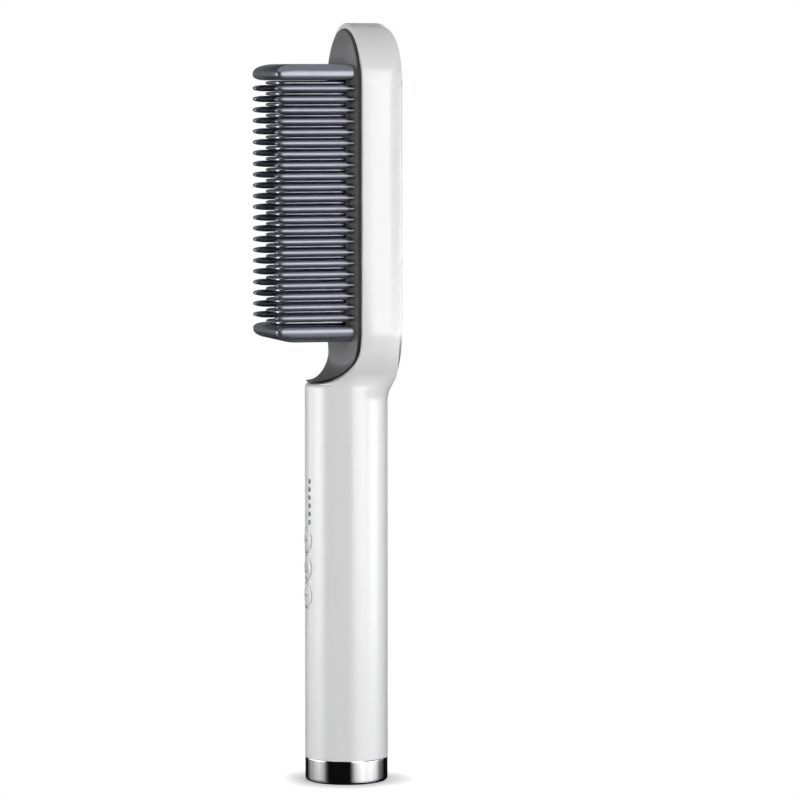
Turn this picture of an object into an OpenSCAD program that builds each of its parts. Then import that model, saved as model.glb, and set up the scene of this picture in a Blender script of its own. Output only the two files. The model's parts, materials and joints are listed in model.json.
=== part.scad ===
// Heated straightening comb: a round handle that stands on a chrome base, a long rounded head,
// and a block of heated fins between two rows of cool plastic teeth.
// +Z is up along the handle, the teeth point to -Y and the bright back panel faces +Y.

/* [Overall] */
// Height of the whole comb, standing on its base
total_h = 275; // [255:1:330]
// Outside diameter of the handle
handle_d = 30; // [26:0.5:36]
// Wall of the moulded white shell
shell_t = 2; // [1.6:0.1:2.4]

/* [Head] */
// Outside width of the head
head_w = 46; // [43.5:0.5:56]
// Length of the head from its lower round end to its top
head_l = 133; // [128:0.5:160]
// How far the front rim of the head stands in front of the handle's axis
rim_front = 0.3; // [0:0.1:1]
// Width of the rounding on the head's back edge
back_round = 1.6; // [1.2:0.1:1.8]
// How far that rounding reaches down the head's side
back_drop = 4.5; // [2:0.5:6]
// Fillet where the head's outline runs into the handle
neck_r = 8; // [6:0.5:14]
// Width of the hollow blend at the head's lower edge, where the flat back turns into the round handle
neck_blend = 11; // [8:0.5:13]
// Radius of the scooped throat below the teeth
scoop_r = 13.6; // [11:0.1:14.2]
// How much higher the front opening ends than the head's lower end
opening_raise = 1; // [0:0.5:3]
// Rounding of the handle's front edge under the scoop
lip_r = 1.5; // [0.8:0.1:2]

/* [Comb frame] */
// Height of the frame's plateau in front of the rim
plateau_rise = 3; // [2:0.1:4]
// Half width of the flat plateau
plateau_r = 14.3; // [13:0.1:15.5]
// Thickness of the plateau and of the skin in the scoop
frame_t = 2; // [1.6:0.1:2.4]
// How far the frame's edge stands proud of the white shell, round the rim and down the scoop
skin_proud = 0.9; // [0.5:0.1:1.2]

/* [Guard teeth] */
// Teeth in each row, without the end guards
tooth_count = 22; // [18:1:22]
// Distance from one tooth to the next
tooth_pitch = 3.905; // [3.4:0.005:4]
// Middle of each row, out from the centre
row_x = 15; // [14.4:0.1:15.6]
// Width of a tooth across the comb
tooth_w = 5; // [4:0.1:5.4]
// Thickness of a tooth at its root
tooth_t = 2.6; // [2:0.1:2.8]
// How far the tips stand in front of the handle's axis
tooth_reach = 30.6; // [26:0.1:37]
// Length of the pointed tip
tip_l = 4.4; // [3:0.1:6]
// Distance from the last tooth to the middle of an end guard's tip
guard_step = 4.87; // [4.4:0.01:5.4]
// Height of an end guard's outer side beyond the middle of its tip
guard_rise = 3.85; // [3:0.05:4.4]
// Length of the slanted corner of an end guard
guard_slant = 8.3; // [6:0.1:10]
// Clearance between an end guard's root and the fin beside it
guard_gap = 0.3; // [0.2:0.05:0.5]

/* [Heater] */
// How much shorter the hot fins are than the guard teeth
fin_short = 2.4; // [1.8:0.1:6]
// Half width of a fin across the comb
fin_half_w = 9.5; // [7:0.1:9.8]
// Thickness of a fin at its root
fin_t = 1.8; // [1.4:0.1:2]
// Thickness of the fin plate
plate_t = 2; // [1.6:0.1:2.6]
// Thickness of the ceramic heater strip
ptc_t = 2.2; // [1.8:0.1:2.6]
// Thickness of the insulating sheet behind the heater
mica_t = 0.3; // [0.2:0.05:0.4]
// Thickness of the clamp that presses the heater on the plate
clamp_t = 1; // [0.8:0.1:1.4]

/* [Back] */
// Half width of the metal back panel
panel_r = 17.9; // [16.5:0.1:18.3]
// Thickness of the back panel's edge
panel_t = 1.2; // [0.8:0.1:1.6]
// How much the back panel is crowned across its width
panel_crown = 0.8; // [0.4:0.1:1]
// Depth of the rebate that the bezel sits in
bezel_t = 2.2; // [1.8:0.1:2.4]

/* [Controls] */
// Height of the middle button above the base
button_z = 78; // [70:1:84]
// Distance between the buttons
button_pitch = 10; // [9.8:0.1:11]
// Radius of a button
button_r = 4.5; // [3.6:0.1:4.5]
// Clearance round a button
button_gap = 0.3; // [0.2:0.05:0.4]
// Travel of a button
button_travel = 0.6; // [0.3:0.1:0.6]
// Number of indicator lights
led_count = 6; // [3:1:6]
// Distance between the lights
led_pitch = 2.96; // [2.4:0.02:3.2]
// Height of the lowest light above the base
led_z = 94.9; // [94:0.1:98]
// Sideways place of the column of lights
led_x = 3; // [2:0.1:3.5]
// Radius of an indicator light
led_r = 0.9; // [0.6:0.05:1]

/* [Base] */
// Height of the chrome base ring
base_h = 8.6; // [7:0.1:11]
// Rounding of the base ring's lower edge
base_round = 2.5; // [1:0.1:3]
// Radius of the cord's inlet
inlet_r = 3.1; // [2.6:0.1:3.4]
// Radius of the swivel's bearing
swivel_r = 6; // [5.4:0.1:6.6]
// Radial clearance of the swivel in its bearing
swivel_gap = 0.05; // [0.03:0.01:0.1]
// How far the swivel stays above the surface that the base stands on
swivel_recess = 0.6; // [0.4:0.1:1]

/* [Hidden] */

round_fn = 96; // circles of the head
small_fn = 48; // circles of small parts
eps = 0.1; // flats that keep neighbouring points of a section apart
over = 1; // how far a cut runs past a face
fit = 0.1; // gap between fixed parts that slide together

handle_r = handle_d / 2;
bore_r = handle_r - shell_t;
head_r = head_w / 2;
head_top = total_h - head_r;
head_low = total_h - head_l + head_r;
rim_y = -rim_front;
back_y = handle_r;

// Front opening and the scoop below it
opening_r = head_r - shell_t;
opening_low = head_low + opening_raise;
scoop_floor = opening_low - opening_r;
scoop_y = rim_y - scoop_r;
scoop_z = scoop_floor + scoop_r;
skin_t = frame_t - skin_proud;
bore_top = scoop_floor - skin_t - shell_t;

// Where the neck's fillet meets the handle and the head's round end
fillet_x = handle_r + neck_r;
fillet_z = head_low - sqrt(pow(head_r + neck_r, 2) - pow(fillet_x, 2));
fillet_end = head_low - (head_low - fillet_z) * head_r / (head_r + neck_r);
blend_z = head_low - head_r + back_round - neck_blend;

// ---------- the white shell ----------

// A share that grows smoothly from 0 to 1
function smooth(t) = let (u = min(1, max(0, t))) u * u * (3 - 2 * u);
function mix(a, b, t) = a + (b - a) * t;

// Half width of the shell at height z: handle, neck fillet, round end, straight side, round top
function half_width(z) =
    z <= fillet_z ? handle_r :
    z <= fillet_end ? fillet_x - sqrt(pow(neck_r, 2) - pow(z - fillet_z, 2)) :
    z <= head_low ? sqrt(pow(head_r, 2) - pow(head_low - z, 2)) :
    z <= head_top ? head_r :
    sqrt(max(0, pow(head_r, 2) - pow(z - head_top, 2)));

// How far the shell reaches back at height z: it drops where the back edge rounds over the top
function back_depth(z) =
    let (past = max(0, z - head_top - head_r + back_round) / back_round)
    back_y - back_drop * (1 - sqrt(max(0, 1 - past * past)));

// How far the front of the shell reaches at height z: the lip rounds over, the head stops short
function front_depth(z) =
    z <= scoop_floor - lip_r ? handle_r :
    z <= scoop_floor ? handle_r - lip_r + sqrt(pow(lip_r, 2) - pow(z - scoop_floor + lip_r, 2)) :
    mix(handle_r - lip_r, rim_front + over, smooth((z - scoop_floor) / scoop_r));

// Width and depth of the rounded corner at the back of the head at height z
function corner_width(z) = z <= head_top ? back_round :
    half_width(z) - sqrt(max(0, pow(head_r - back_round, 2) - pow(z - head_top, 2)));
function corner_depth(z) = back_depth(z) - back_y + back_drop;

// Share of the head in the section at (x, z): all of it inside the edge's rounding, then a hollow
// blend that falls off fast and runs out slowly
function head_share(x, z) =
    let (
        out = norm([x, max(0, head_low - z)]) - head_r + back_round,
        t = min(1, max(0, out / neck_blend))
    )
    (1 + 4 * t) * pow(1 - t, 4);

// A quarter of an ellipse with its middle at (w - rx, y - ry), at angle a
function corner(w, y, rx, ry, a) = [w - rx + rx * cos(a), y - ry + ry * sin(a)];

// One closed section of the shell: two back corners and two front corners
quarter = 12;
function section(z) =
    let (
        w = half_width(z),
        back = back_depth(z),
        front = front_depth(z),
        bx = min(w - eps, corner_width(z)),
        throat = smooth((z - scoop_floor) / scoop_r),
        fx = min(w - eps, mix(w, over, throat)),
        fy = min(front - eps, mix(front, rim_front, throat)),
        back_side = [for (i = [0:quarter]) let (
            a = 90 * i / quarter,
            sharp = corner(w, back, bx, corner_depth(z), a),
            plain = corner(w, back, w - eps, back - eps, a)
        ) mix(plain, sharp, head_share(sharp[0], z))],
        front_side = [for (i = [0:quarter]) corner(w, front, fx, fy, 90 * i / quarter)]
    )
    concat(
        [for (i = [0:quarter]) [back_side[i][0], back_side[i][1], z]],
        [for (i = [quarter:-1:0]) [-back_side[i][0], back_side[i][1], z]],
        [for (i = [0:quarter]) [-front_side[i][0], -front_side[i][1], z]],
        [for (i = [quarter:-1:0]) [front_side[i][0], -front_side[i][1], z]]
    );

// Heights of the sections: close together in the lip, the neck and the round top
neck_rings = 12;
top_rings = 12;
section_heights = concat(
    [base_h],
    [for (i = [0:neck_rings - 1]) mix(blend_z, scoop_floor - lip_r, i / neck_rings)],
    [for (a = [0:22.5:90]) scoop_floor - lip_r + lip_r * sin(a)],
    [for (i = [1:8]) mix(scoop_floor, head_low, i / 8)],
    [for (i = [0:top_rings - 1]) head_top + head_r * sin(90 * i / top_rings)],
    [head_top + sqrt(pow(head_r, 2) - pow(3 * eps, 2))]
);

// Closed skin through a list of rings that all have the same number of points
module loft(rings) {
    n = len(rings[0]);
    last = len(rings) - 1;
    polyhedron(
        points = [for (ring = rings) each ring],
        faces = concat(
            [[for (j = [0:n - 1]) j]],
            [for (i = [0:last - 1], j = [0:n - 1])
                [i * n + j, (i + 1) * n + j, (i + 1) * n + (j + 1) % n, i * n + (j + 1) % n]],
            [[for (j = [n - 1:-1:0]) last * n + j]]
        )
    );
}

// Upright stadium in the X-Z plane, from y0 to y1
module stadium(r, low, top, y0, y1) {
    translate([0, y1, 0]) rotate([90, 0, 0]) linear_extrude(height = y1 - y0) {
        translate([0, low]) circle(r = r, $fn = round_fn);
        translate([0, top]) circle(r = r, $fn = round_fn);
        translate([-r, low]) square([2 * r, top - low]);
    }
}

// A profile drawn in Y and Z, carried from x0 to x1
module across(x0, x1) {
    translate([x0, 0, 0]) rotate([90, 0, 90]) linear_extrude(height = x1 - x0) children();
}

// Cylinder along Y from y0 to y1
module rod_y(r, x, z, y0, y1) {
    translate([x, y1, z]) rotate([90, 0, 0]) cylinder(r = r, h = y1 - y0, $fn = small_fn);
}

// Points along the scoop at radius r, from its floor up to the rim
function scoop_arc(r) = [for (a = [-90:7.5:0]) [scoop_y + r * cos(a), scoop_z + r * sin(a)]];

// Everything in front of the scoop and the rim
module scoop_space() {
    across(-head_w, head_w) polygon(concat(
        [[-handle_d, scoop_floor]],
        scoop_arc(scoop_r),
        [[rim_y, total_h + over], [-handle_d, total_h + over]]
    ));
}

// Layer between two depths of the scoop, measured into the shell, up to where the scoop meets the rim
module scoop_layer(d0, d1) {
    rim0 = rim_y + d0;
    rim1 = rim_y + d1;
    up = scoop_z;
    outer = scoop_arc(scoop_r + d0);
    inner = scoop_arc(scoop_r + d1);
    across(-head_w, head_w) polygon(concat(
        outer,
        [[rim0, up], [rim1, up]],
        [for (i = [len(inner) - 1:-1:0]) inner[i]]
    ));
}

// Stack behind the curved front wall: button flange, switches, circuit board
flange_t = 1;
flange_half_w = button_r + 1.2;
button_flange_y = button_gap - sqrt(pow(bore_r, 2) - pow(flange_half_w, 2));
switch_t = 3.4;
switch_front = button_flange_y + flange_t + button_travel + 0.4;
board_t = 1.6;
board_front = switch_front + switch_t;
board_back = board_front + board_t;
rail_y = board_front + board_t / 2;
board_half_w = sqrt(pow(bore_r, 2) - pow(board_front, 2)) - 1;
board_low = base_h + 12.5;
board_l = 105;
rail_w = 4.8;

// Grooved rails that carry the circuit board in the handle
module board_rails() {
    difference() {
        intersection() {
            translate([0, 0, board_low]) cylinder(r = bore_r + shell_t / 4, h = board_l, $fn = round_fn);
            for (side = [-1, 1])
                translate([side * (board_half_w + rail_w / 2 - over), rail_y, board_low + board_l / 2])
                    cube([rail_w, rail_w, board_l], center = true);
        }
        translate([0, rail_y, board_low + board_l / 2])
            cube([2 * (board_half_w + fit), board_t + 2 * fit, board_l + 2 * over], center = true);
    }
}

cavity_y = 2.5; // front of the room behind the scoop
passage_r = 5; // way for the wires from the handle into the head

module housing() color("#f2f3f4") union() {
    difference() {
        loft([for (z = section_heights) section(z)]);
        translate([0, 0, base_h - over]) cylinder(r = bore_r, h = bore_top - base_h + over, $fn = round_fn);
        translate([0, cavity_y + passage_r - over, bore_top - passage_r])
            cylinder(r = passage_r, h = opening_low - bore_top, $fn = small_fn);
        scoop_space();
        intersection() {
            stadium(opening_r, opening_low, head_top, -handle_d, cavity_y);
            scoop_layer(-over, skin_t);
        }
        intersection() {
            stadium(opening_r, opening_low, head_top, rim_y - over, cavity_y + over);
            translate([-head_w, rim_y - 2 * over, scoop_z - eps]) cube([2 * head_w, handle_r, head_l]);
        }
        stadium(opening_r, head_low, head_top, cavity_y, back_y + over);
        stadium(bezel_r + fit, head_low, head_top, back_y - bezel_t, back_y + over);
        for (i = [-1:1])
            rod_y(button_r + button_gap, 0, button_z + i * button_pitch, -handle_d, -handle_r / 2);
        for (i = [0:led_count - 1])
            rod_y(led_r + fit, led_x, led_z + i * led_pitch, -handle_d, -handle_r / 2);
    }
    board_rails();
}

// ---------- the dark comb frame and its teeth ----------

frame_r = opening_r - fit;
plateau_y = rim_y - plateau_rise;
skirt_y = rim_y - skin_proud; // where the frame's slope ends in its upright edge
frame_back = 1.5;
window_half_w = fin_half_w + 1.1;
comb_mid = (opening_low + head_top) / 2 + 1.5;
function tooth_z(i) = comb_mid + (i - (tooth_count - 1) / 2) * tooth_pitch;
comb_low = tooth_z(0);
comb_top = tooth_z(tooth_count - 1);
guard_low = comb_low - guard_step;
guard_top = comb_top + guard_step;
plate_margin = 0.9; // from an end guard's outer side to the plate's edge
plate_low = guard_low - guard_rise - plate_margin;
plate_top = guard_top + guard_rise + plate_margin;
plate_half_w = window_half_w + 1.4;

// The raised front of the frame: a flat plateau that slopes down to the rim all round
module frame_front() {
    hull() {
        stadium(frame_r, opening_low, head_top, skirt_y, frame_back);
        stadium(plateau_r, opening_low, head_top, plateau_y, frame_back);
    }
}

post_x = 16;
post_r = 2.2;
post_z = [comb_low + 4, comb_top - 4];
shield_y = 8.2;

module comb_frame() color("#4a4b4d") union() {
    difference() {
        union() {
            difference() {
                frame_front();
                scoop_layer(skin_t - fit, head_r);
            }
            intersection() {
                stadium(frame_r, opening_low, head_top, -handle_d, frame_back);
                scoop_layer(-skin_proud, skin_t - fit);
            }
        }
        translate([-window_half_w, plateau_y - over, plate_low + over])
            cube([2 * window_half_w, handle_r, plate_top - plate_low - 2 * over]);
        translate([-plate_half_w - fit, plateau_y + frame_t, plate_low - fit])
            cube([2 * (plate_half_w + fit), handle_r, plate_top - plate_low + 2 * fit]);
    }
    for (x = [-post_x, post_x], z = post_z)
        rod_y(post_r, x, z, rim_y, shield_y);
}

// Half of a pointed side profile: thickness t at the root, t_tip where the point starts
point_steps = 6;
function pointed(root_y, tip_y, t, t_tip, l) = concat(
    [[root_y, t / 2]],
    [for (i = [0:point_steps]) let (a = 82 * i / point_steps)
        [tip_y + l * (1 - sin(a) / sin(82)), t_tip / 2 * cos(a)]]
);
function flipped(points) = [for (i = [len(points) - 1:-1:0]) [points[i][0], -points[i][1]]];

// Outline of a tooth seen along Z, rooted on the frame's slope and rounded at its tip
function slope_y(x) = x <= plateau_r ? plateau_y :
    mix(plateau_y, skirt_y, (x - plateau_r) / (frame_r - plateau_r));
function tip_corner(x, side, tip_y, r) = [for (a = [0:15:90])
    side > 0 ? [x - r + r * cos(a), tip_y + r - r * sin(a)] : [x + r - r * sin(a), tip_y + r - r * cos(a)]];

module tooth_outline(x0, x1, tip_y, r) {
    polygon(concat(
        [[x0, slope_y(x0)], [plateau_r, plateau_y], [x1, slope_y(x1)]],
        tip_corner(x1, 1, tip_y, r),
        tip_corner(x0, -1, tip_y, r)
    ));
}

tooth_tip_y = -tooth_reach;
tooth_tip_t = tooth_t * 0.9;
tooth_tip_r = 1.6;
tooth_side_r = 1.6; // bulge of a tooth's two sides, seen from its tip

module tooth(z) {
    side = pointed(rim_y, tooth_tip_y, tooth_t, tooth_tip_t, tip_l);
    x0 = row_x - tooth_w / 2;
    x1 = row_x + tooth_w / 2;
    r = tooth_side_r;
    intersection() {
        translate([0, 0, z - tooth_t]) linear_extrude(height = 2 * tooth_t)
            tooth_outline(x0, x1, tooth_tip_y, tooth_tip_r);
        translate([0, 0, z]) across(0, head_r) polygon(concat(side, flipped(side)));
        translate([0, 0, z]) rotate([90, 0, 0]) linear_extrude(height = tooth_reach + over) {
            for (x = [x0 + r, x1 - r]) translate([x, 0]) circle(r = r, $fn = small_fn / 2);
            translate([x0 + r, -r]) square([x1 - x0 - 2 * r, 2 * r]);
        }
    }
}

module guard_teeth_right() color("#3a3c3f") {
    for (i = [0:tooth_count - 1]) tooth(tooth_z(i));
}

module guard_teeth_left() color("#3a3c3f") mirror([1, 0, 0]) {
    for (i = [0:tooth_count - 1]) tooth(tooth_z(i));
}

// Side profile of an end guard above the middle of its tip: a bowed slant up to its flat outside
function guard_side() = concat(
    [[rim_y, guard_rise]],
    [for (i = [0:point_steps]) let (a = 90 * i / point_steps)
        [tooth_tip_y + guard_slant * (1 - sin(a)), mix(guard_rise, 0.5, pow(1 - cos(a), 1.1))]]
);

guard_inner = guard_step - tooth_pitch / 2 - fin_t / 2 - guard_gap; // its root stays clear of the last fin
guard_round = 3; // how far a guard's ends round inwards towards its outer side
guard_grow = 0.3; // how far that rounding runs past the guard's flats

// End of a guard seen from its tip: widest at the tip's height, a quarter of an ellipse up and down
function guard_end(half_w) = [for (i = [-quarter:quarter]) let (
        a = 90 * i / quarter,
        width = a < 0 ? tooth_side_r : guard_round,
        height = guard_grow + (a < 0 ? guard_inner : guard_rise)
    ) [half_w - width * (1 - cos(a)), height * sin(a)]];

// A guard spans both rows; its tip is at height 0 and its outer side is up
module end_guard() {
    half_w = row_x + tooth_w / 2;
    right = guard_end(half_w);
    inner = pointed(rim_y, tooth_tip_y, 2 * guard_inner, tooth_tip_t, tip_l);
    intersection() {
        translate([0, 0, -tooth_t]) linear_extrude(height = guard_rise + 2 * tooth_t) polygon(concat(
            [[-half_w, rim_y], [half_w, rim_y]],
            tip_corner(half_w, 1, tooth_tip_y, tooth_tip_r),
            tip_corner(-half_w, -1, tooth_tip_y, tooth_tip_r)
        ));
        across(-head_r, head_r) polygon(concat(guard_side(), flipped(inner)));
        rotate([90, 0, 0]) linear_extrude(height = tooth_reach + over)
            polygon(concat(right, [for (i = [len(right) - 1:-1:0]) [-right[i][0], right[i][1]]]));
    }
}

module end_guard_top() color("#3a3c3f") difference() {
    translate([0, 0, guard_top]) end_guard();
    frame_front();
}

module end_guard_bottom() color("#3a3c3f") difference() {
    translate([0, 0, guard_low]) mirror([0, 0, 1]) end_guard();
    frame_front();
}

// ---------- the heater ----------

boss_y = plateau_y + 0.7; // front of the fin plate in the frame's window
flange_y = plateau_y + frame_t;
plate_back = flange_y + plate_t;
ptc_back = plate_back + ptc_t;
mica_back = ptc_back + mica_t;
clamp_back = mica_back + clamp_t;
screw_x = 5.5;
screw_z = [plate_low + 5.2, plate_top - 5.2];
screw_r = 1.2;
screw_boss_r = 2.4;
ptc_half_w = 6;
ptc_margin = 9;

module heat_plate() color("#b9bcc0") difference() {
    union() {
        translate([-window_half_w + fit, boss_y, plate_low + over + fit])
            cube([2 * (window_half_w - fit), plate_back - boss_y, plate_top - plate_low - 2 * (over + fit)]);
        translate([-plate_half_w, flange_y, plate_low])
            cube([2 * plate_half_w, plate_t, plate_top - plate_low]);
        for (x = [-screw_x, screw_x], z = screw_z)
            rod_y(screw_boss_r, x, z, flange_y, mica_back);
    }
    for (x = [-screw_x, screw_x], z = screw_z)
        rod_y(screw_r + swivel_gap, x, z, flange_y + 0.6, mica_back + over);
}

fin_tip_y = tooth_tip_y + fin_short;
fin_tip_t = fin_t * 0.8;
fin_tip_r = 3;

// The hot fins stand half a pitch from the guard teeth, so each one shows in a gap
module heating_fins() color("#70757f") {
    side = pointed(boss_y + over, fin_tip_y, fin_t, fin_tip_t, tip_l * 0.7);
    for (i = [0:tooth_count]) intersection() {
        z = tooth_z(i) - tooth_pitch / 2;
        translate([0, 0, z - fin_t]) linear_extrude(height = 2 * fin_t) polygon(concat(
            [[-fin_half_w, boss_y], [fin_half_w, boss_y]],
            tip_corner(fin_half_w, 1, fin_tip_y, fin_tip_r),
            tip_corner(-fin_half_w, -1, fin_tip_y, fin_tip_r)
        ));
        translate([0, 0, z]) across(-head_r, head_r) polygon(concat(side, flipped(side)));
    }
}

module ptc_heater() color("#c9a36a")
    translate([-ptc_half_w, plate_back, plate_low + ptc_margin])
        cube([2 * ptc_half_w, ptc_t, plate_top - plate_low - 2 * ptc_margin]);

module mica_sheet() color("#d8c7a0")
    translate([-ptc_half_w - 0.5, ptc_back, plate_low + ptc_margin - 0.5])
        cube([2 * ptc_half_w + 1, mica_t, plate_top - plate_low - 2 * ptc_margin + 1]);

clamp_half_w = screw_x + 2.5;

module heater_clamp() color("#9fa4a8") difference() {
    translate([-clamp_half_w, mica_back, plate_low + 2.5])
        cube([2 * clamp_half_w, clamp_t, plate_top - plate_low - 5]);
    for (x = [-screw_x, screw_x], z = screw_z)
        rod_y(screw_r + fit, x, z, mica_back - over, clamp_back + over);
}

// Screw whose head rests at y and whose shank runs l towards -Y
module screw(r, x, z, y, l) {
    rod_y(r, x, z, y - l, y);
    rod_y(1.8 * r, x, z, y, y + 1.2 * r);
}

module heater_screws() color("#8d9094") {
    for (x = [-screw_x, screw_x], z = screw_z)
        screw(screw_r, x, z, clamp_back, clamp_t + mica_t + ptc_t);
}

module thermistor() color("#6b3f2a")
    rod_y(1.4, clamp_half_w + 1.9, (plate_low + plate_top) / 2, plate_back, plate_back + 1.8);

fuse_r = 1.6;

module thermal_fuse() color("#c8ccd0")
    translate([0, clamp_back + fuse_r, plate_low + 22]) cylinder(r = fuse_r, h = 10, $fn = small_fn);

shield_t = 0.8;

module heat_shield() color("#cdbf9a") difference() {
    stadium(opening_r - 1.5, opening_low, head_top, shield_y, shield_y + shield_t);
    for (x = [-post_x, post_x], z = post_z)
        rod_y(screw_r + fit, x, z, shield_y - over, shield_y + shield_t + over);
}

module shield_screws() color("#8d9094") {
    for (x = [-post_x, post_x], z = post_z)
        screw(screw_r, x, z, shield_y + shield_t, shield_t);
}

// ---------- the back ----------

bezel_r = head_r - 1.2;
bezel_floor = back_y - bezel_t;
bezel_lip_y = back_y - 0.25;
bezel_dip = 0.75;
panel_low = head_low + 0.8;
panel_top = head_top - 1.9;
panel_y = back_y - panel_crown - panel_t + 0.2;
groove = 0.4;

// A ring whose face slopes down to a groove round the panel, with a ledge under the panel
module back_bezel() color("#8f9391") difference() {
    stadium(bezel_r, head_low, head_top, bezel_floor, bezel_lip_y);
    hull() {
        stadium(bezel_r - 0.4, head_low, head_top, bezel_lip_y, back_y + over);
        stadium(panel_r + groove, panel_low, panel_top, bezel_lip_y - bezel_dip, back_y + over);
    }
    stadium(panel_r + groove, panel_low, panel_top, panel_y, back_y + over);
    stadium(panel_r - 1.6, panel_low, panel_top, bezel_floor - over, back_y + over);
}

crown_r = (pow(panel_r, 2) + pow(panel_crown, 2)) / (2 * panel_crown);

module back_panel() color("#b9c2cc") intersection() {
    stadium(panel_r, panel_low, panel_top, panel_y, back_y + over);
    translate([0, back_y - crown_r, 0]) cylinder(r = crown_r, h = total_h, $fn = 4 * round_fn);
}

// ---------- controls and electronics in the handle ----------

module control_board() color("#2f6b45")
    translate([-board_half_w, board_front, board_low]) cube([2 * board_half_w, board_t, board_l]);

switch_half_w = 3;
plunger_r = 1.7;
plunger_l = 2;
plunger_y = button_flange_y + flange_t;

module tact_switches() color("#26282b") {
    for (i = [-1:1]) difference() {
        translate([-switch_half_w, switch_front, button_z + i * button_pitch - switch_half_w])
            cube([2 * switch_half_w, board_front - switch_front, 2 * switch_half_w]);
        rod_y(plunger_r + fit, 0, button_z + i * button_pitch, switch_front - over,
            plunger_y + plunger_l + button_travel + 0.3);
    }
}

flange_half_h = 3.4;
dome_h = 0.6;
dome_y = -handle_r - 0.2;
dome_r = (pow(button_r, 2) + pow(dome_h, 2)) / (2 * dome_h);

// A domed round cap on a flange whose two ears stay behind the shell's wall
module button(z) {
    intersection() {
        rod_y(button_r, 0, z, dome_y - over, button_flange_y + flange_t);
        translate([0, dome_y + dome_r, z]) sphere(r = dome_r, $fn = round_fn);
    }
    translate([-flange_half_w, button_flange_y, z - flange_half_h])
        cube([2 * flange_half_w, flange_t, 2 * flange_half_h]);
}

module plus_button() color("#e9ebec") button(button_z + button_pitch);
module power_button() color("#e9ebec") button(button_z);
module minus_button() color("#e9ebec") button(button_z - button_pitch);

module plunger(z) rod_y(plunger_r, 0, z, plunger_y, plunger_y + plunger_l);
module plus_plunger() color("#d9822b") plunger(button_z + button_pitch);
module power_plunger() color("#d9822b") plunger(button_z);
module minus_plunger() color("#d9822b") plunger(button_z - button_pitch);

led_h = 0.8;
guide_half_w = 1.2;
guide_front = button_flange_y - 0.2;

// A clear bar whose round pins fill the light holes, flush with the handle
module light_guide() color("#dfe6ea") {
    translate([led_x - guide_half_w, guide_front, led_z - 1.5])
        cube([2 * guide_half_w, board_front - led_h - 0.3 - guide_front, (led_count - 1) * led_pitch + 3]);
    intersection() {
        cylinder(r = handle_r - 0.05, h = total_h / 2, $fn = round_fn);
        for (i = [0:led_count - 1])
            rod_y(led_r, led_x, led_z + i * led_pitch, -handle_d, guide_front + over);
    }
}

module led_array() color("#f3e6a0") {
    for (i = [0:led_count - 1])
        translate([led_x - 0.8, board_front - led_h, led_z + i * led_pitch - 0.6]) cube([1.6, led_h, 1.2]);
}

// Parts soldered on the back of the board: a box w wide, t high and l long
module on_board(x, z, w, t, l) translate([x - w / 2, board_back, board_low + z]) cube([w, t, l]);

module microcontroller() color("#1d1f22") on_board(0, 74, 5, 1.6, 8);
module triac() color("#1d1f22") on_board(0, 50, 10, 4.4, 15);
module film_capacitor() color("#d8b13a") on_board(0, 14, 13, 7, 12);

can_r = 4;
module electrolytic_capacitor() color("#2b3350")
    translate([4.5, board_back + can_r, board_low + 31]) cylinder(r = can_r, h = 13, $fn = small_fn);

glass_r = 1.7;
module board_fuse() color("#d5dde0")
    translate([-5, board_back + glass_r, board_low + 30]) cylinder(r = glass_r, h = 15, $fn = small_fn);

// ---------- wires, each in a plane of constant X ----------

wire_r = 0.7;
wire_sides = 8;

function unit(v) = v / norm(v);

// Ring of points round path point i, square to the path there
function wire_ring(x, path, i) =
    let (
        a = path[max(0, i - 1)],
        b = path[min(len(path) - 1, i + 1)],
        t = unit(b - a)
    )
    [for (k = [0:wire_sides - 1]) let (w = k * 360 / wire_sides)
        [x + wire_r * cos(w), path[i][0] - wire_r * sin(w) * t[1], path[i][1] + wire_r * sin(w) * t[0]]];

module wire(x, path) loft([for (i = [0:len(path) - 1]) wire_ring(x, path, i)]);

heater_wire_x = 1.8;
ptc_mid_y = (plate_back + ptc_back) / 2;
throat_y = cavity_y + 3;
board_top = board_low + board_l;
heater_path = [
    [board_back + wire_r, board_top - 4], [board_back + wire_r, board_top],
    [board_back + 1.6, board_top + 3], [throat_y - 2, bore_top - 5], [throat_y, bore_top],
    [throat_y, plate_low - 4.5], [throat_y - 1.2, plate_low - 1],
    [ptc_mid_y + 0.2, plate_low + 3.6], [ptc_mid_y, plate_low + 5], [ptc_mid_y, plate_low + ptc_margin]
];

module heater_leads() color("#b23a32") {
    for (x = [-heater_wire_x, heater_wire_x]) wire(x, heater_path);
}

// ---------- base, cord inlet and sliding contacts ----------

base_wall = handle_r - bore_r - 0.3;
lip_inner_r = 9.5;
lip_t = 1.2;
floor_t = 2;
cap_floor = lip_t + floor_t;
cap_wall = 1.5;
spigot_l = 11;

// Chrome ring with a rounded lower edge and a foot that turns inwards under the cap
module base_ring() color("#6d7074") rotate_extrude($fn = round_fn) polygon(concat(
    [[lip_inner_r, 0]],
    [for (a = [0:11.25:90]) [handle_r - base_round + base_round * sin(a), base_round - base_round * cos(a)]],
    [[handle_r, base_h], [handle_r - base_wall, base_h], [handle_r - base_wall, lip_t], [lip_inner_r, lip_t]]
));

cap_r = handle_r - base_wall - fit;
contact_x = 8.4;
ring_low = 7.4;
ring_step = 4;
contact_h = 1.2;
stem_r = 4.2;
contact_r = 5.2;
contact_gap = 0.3;

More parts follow.
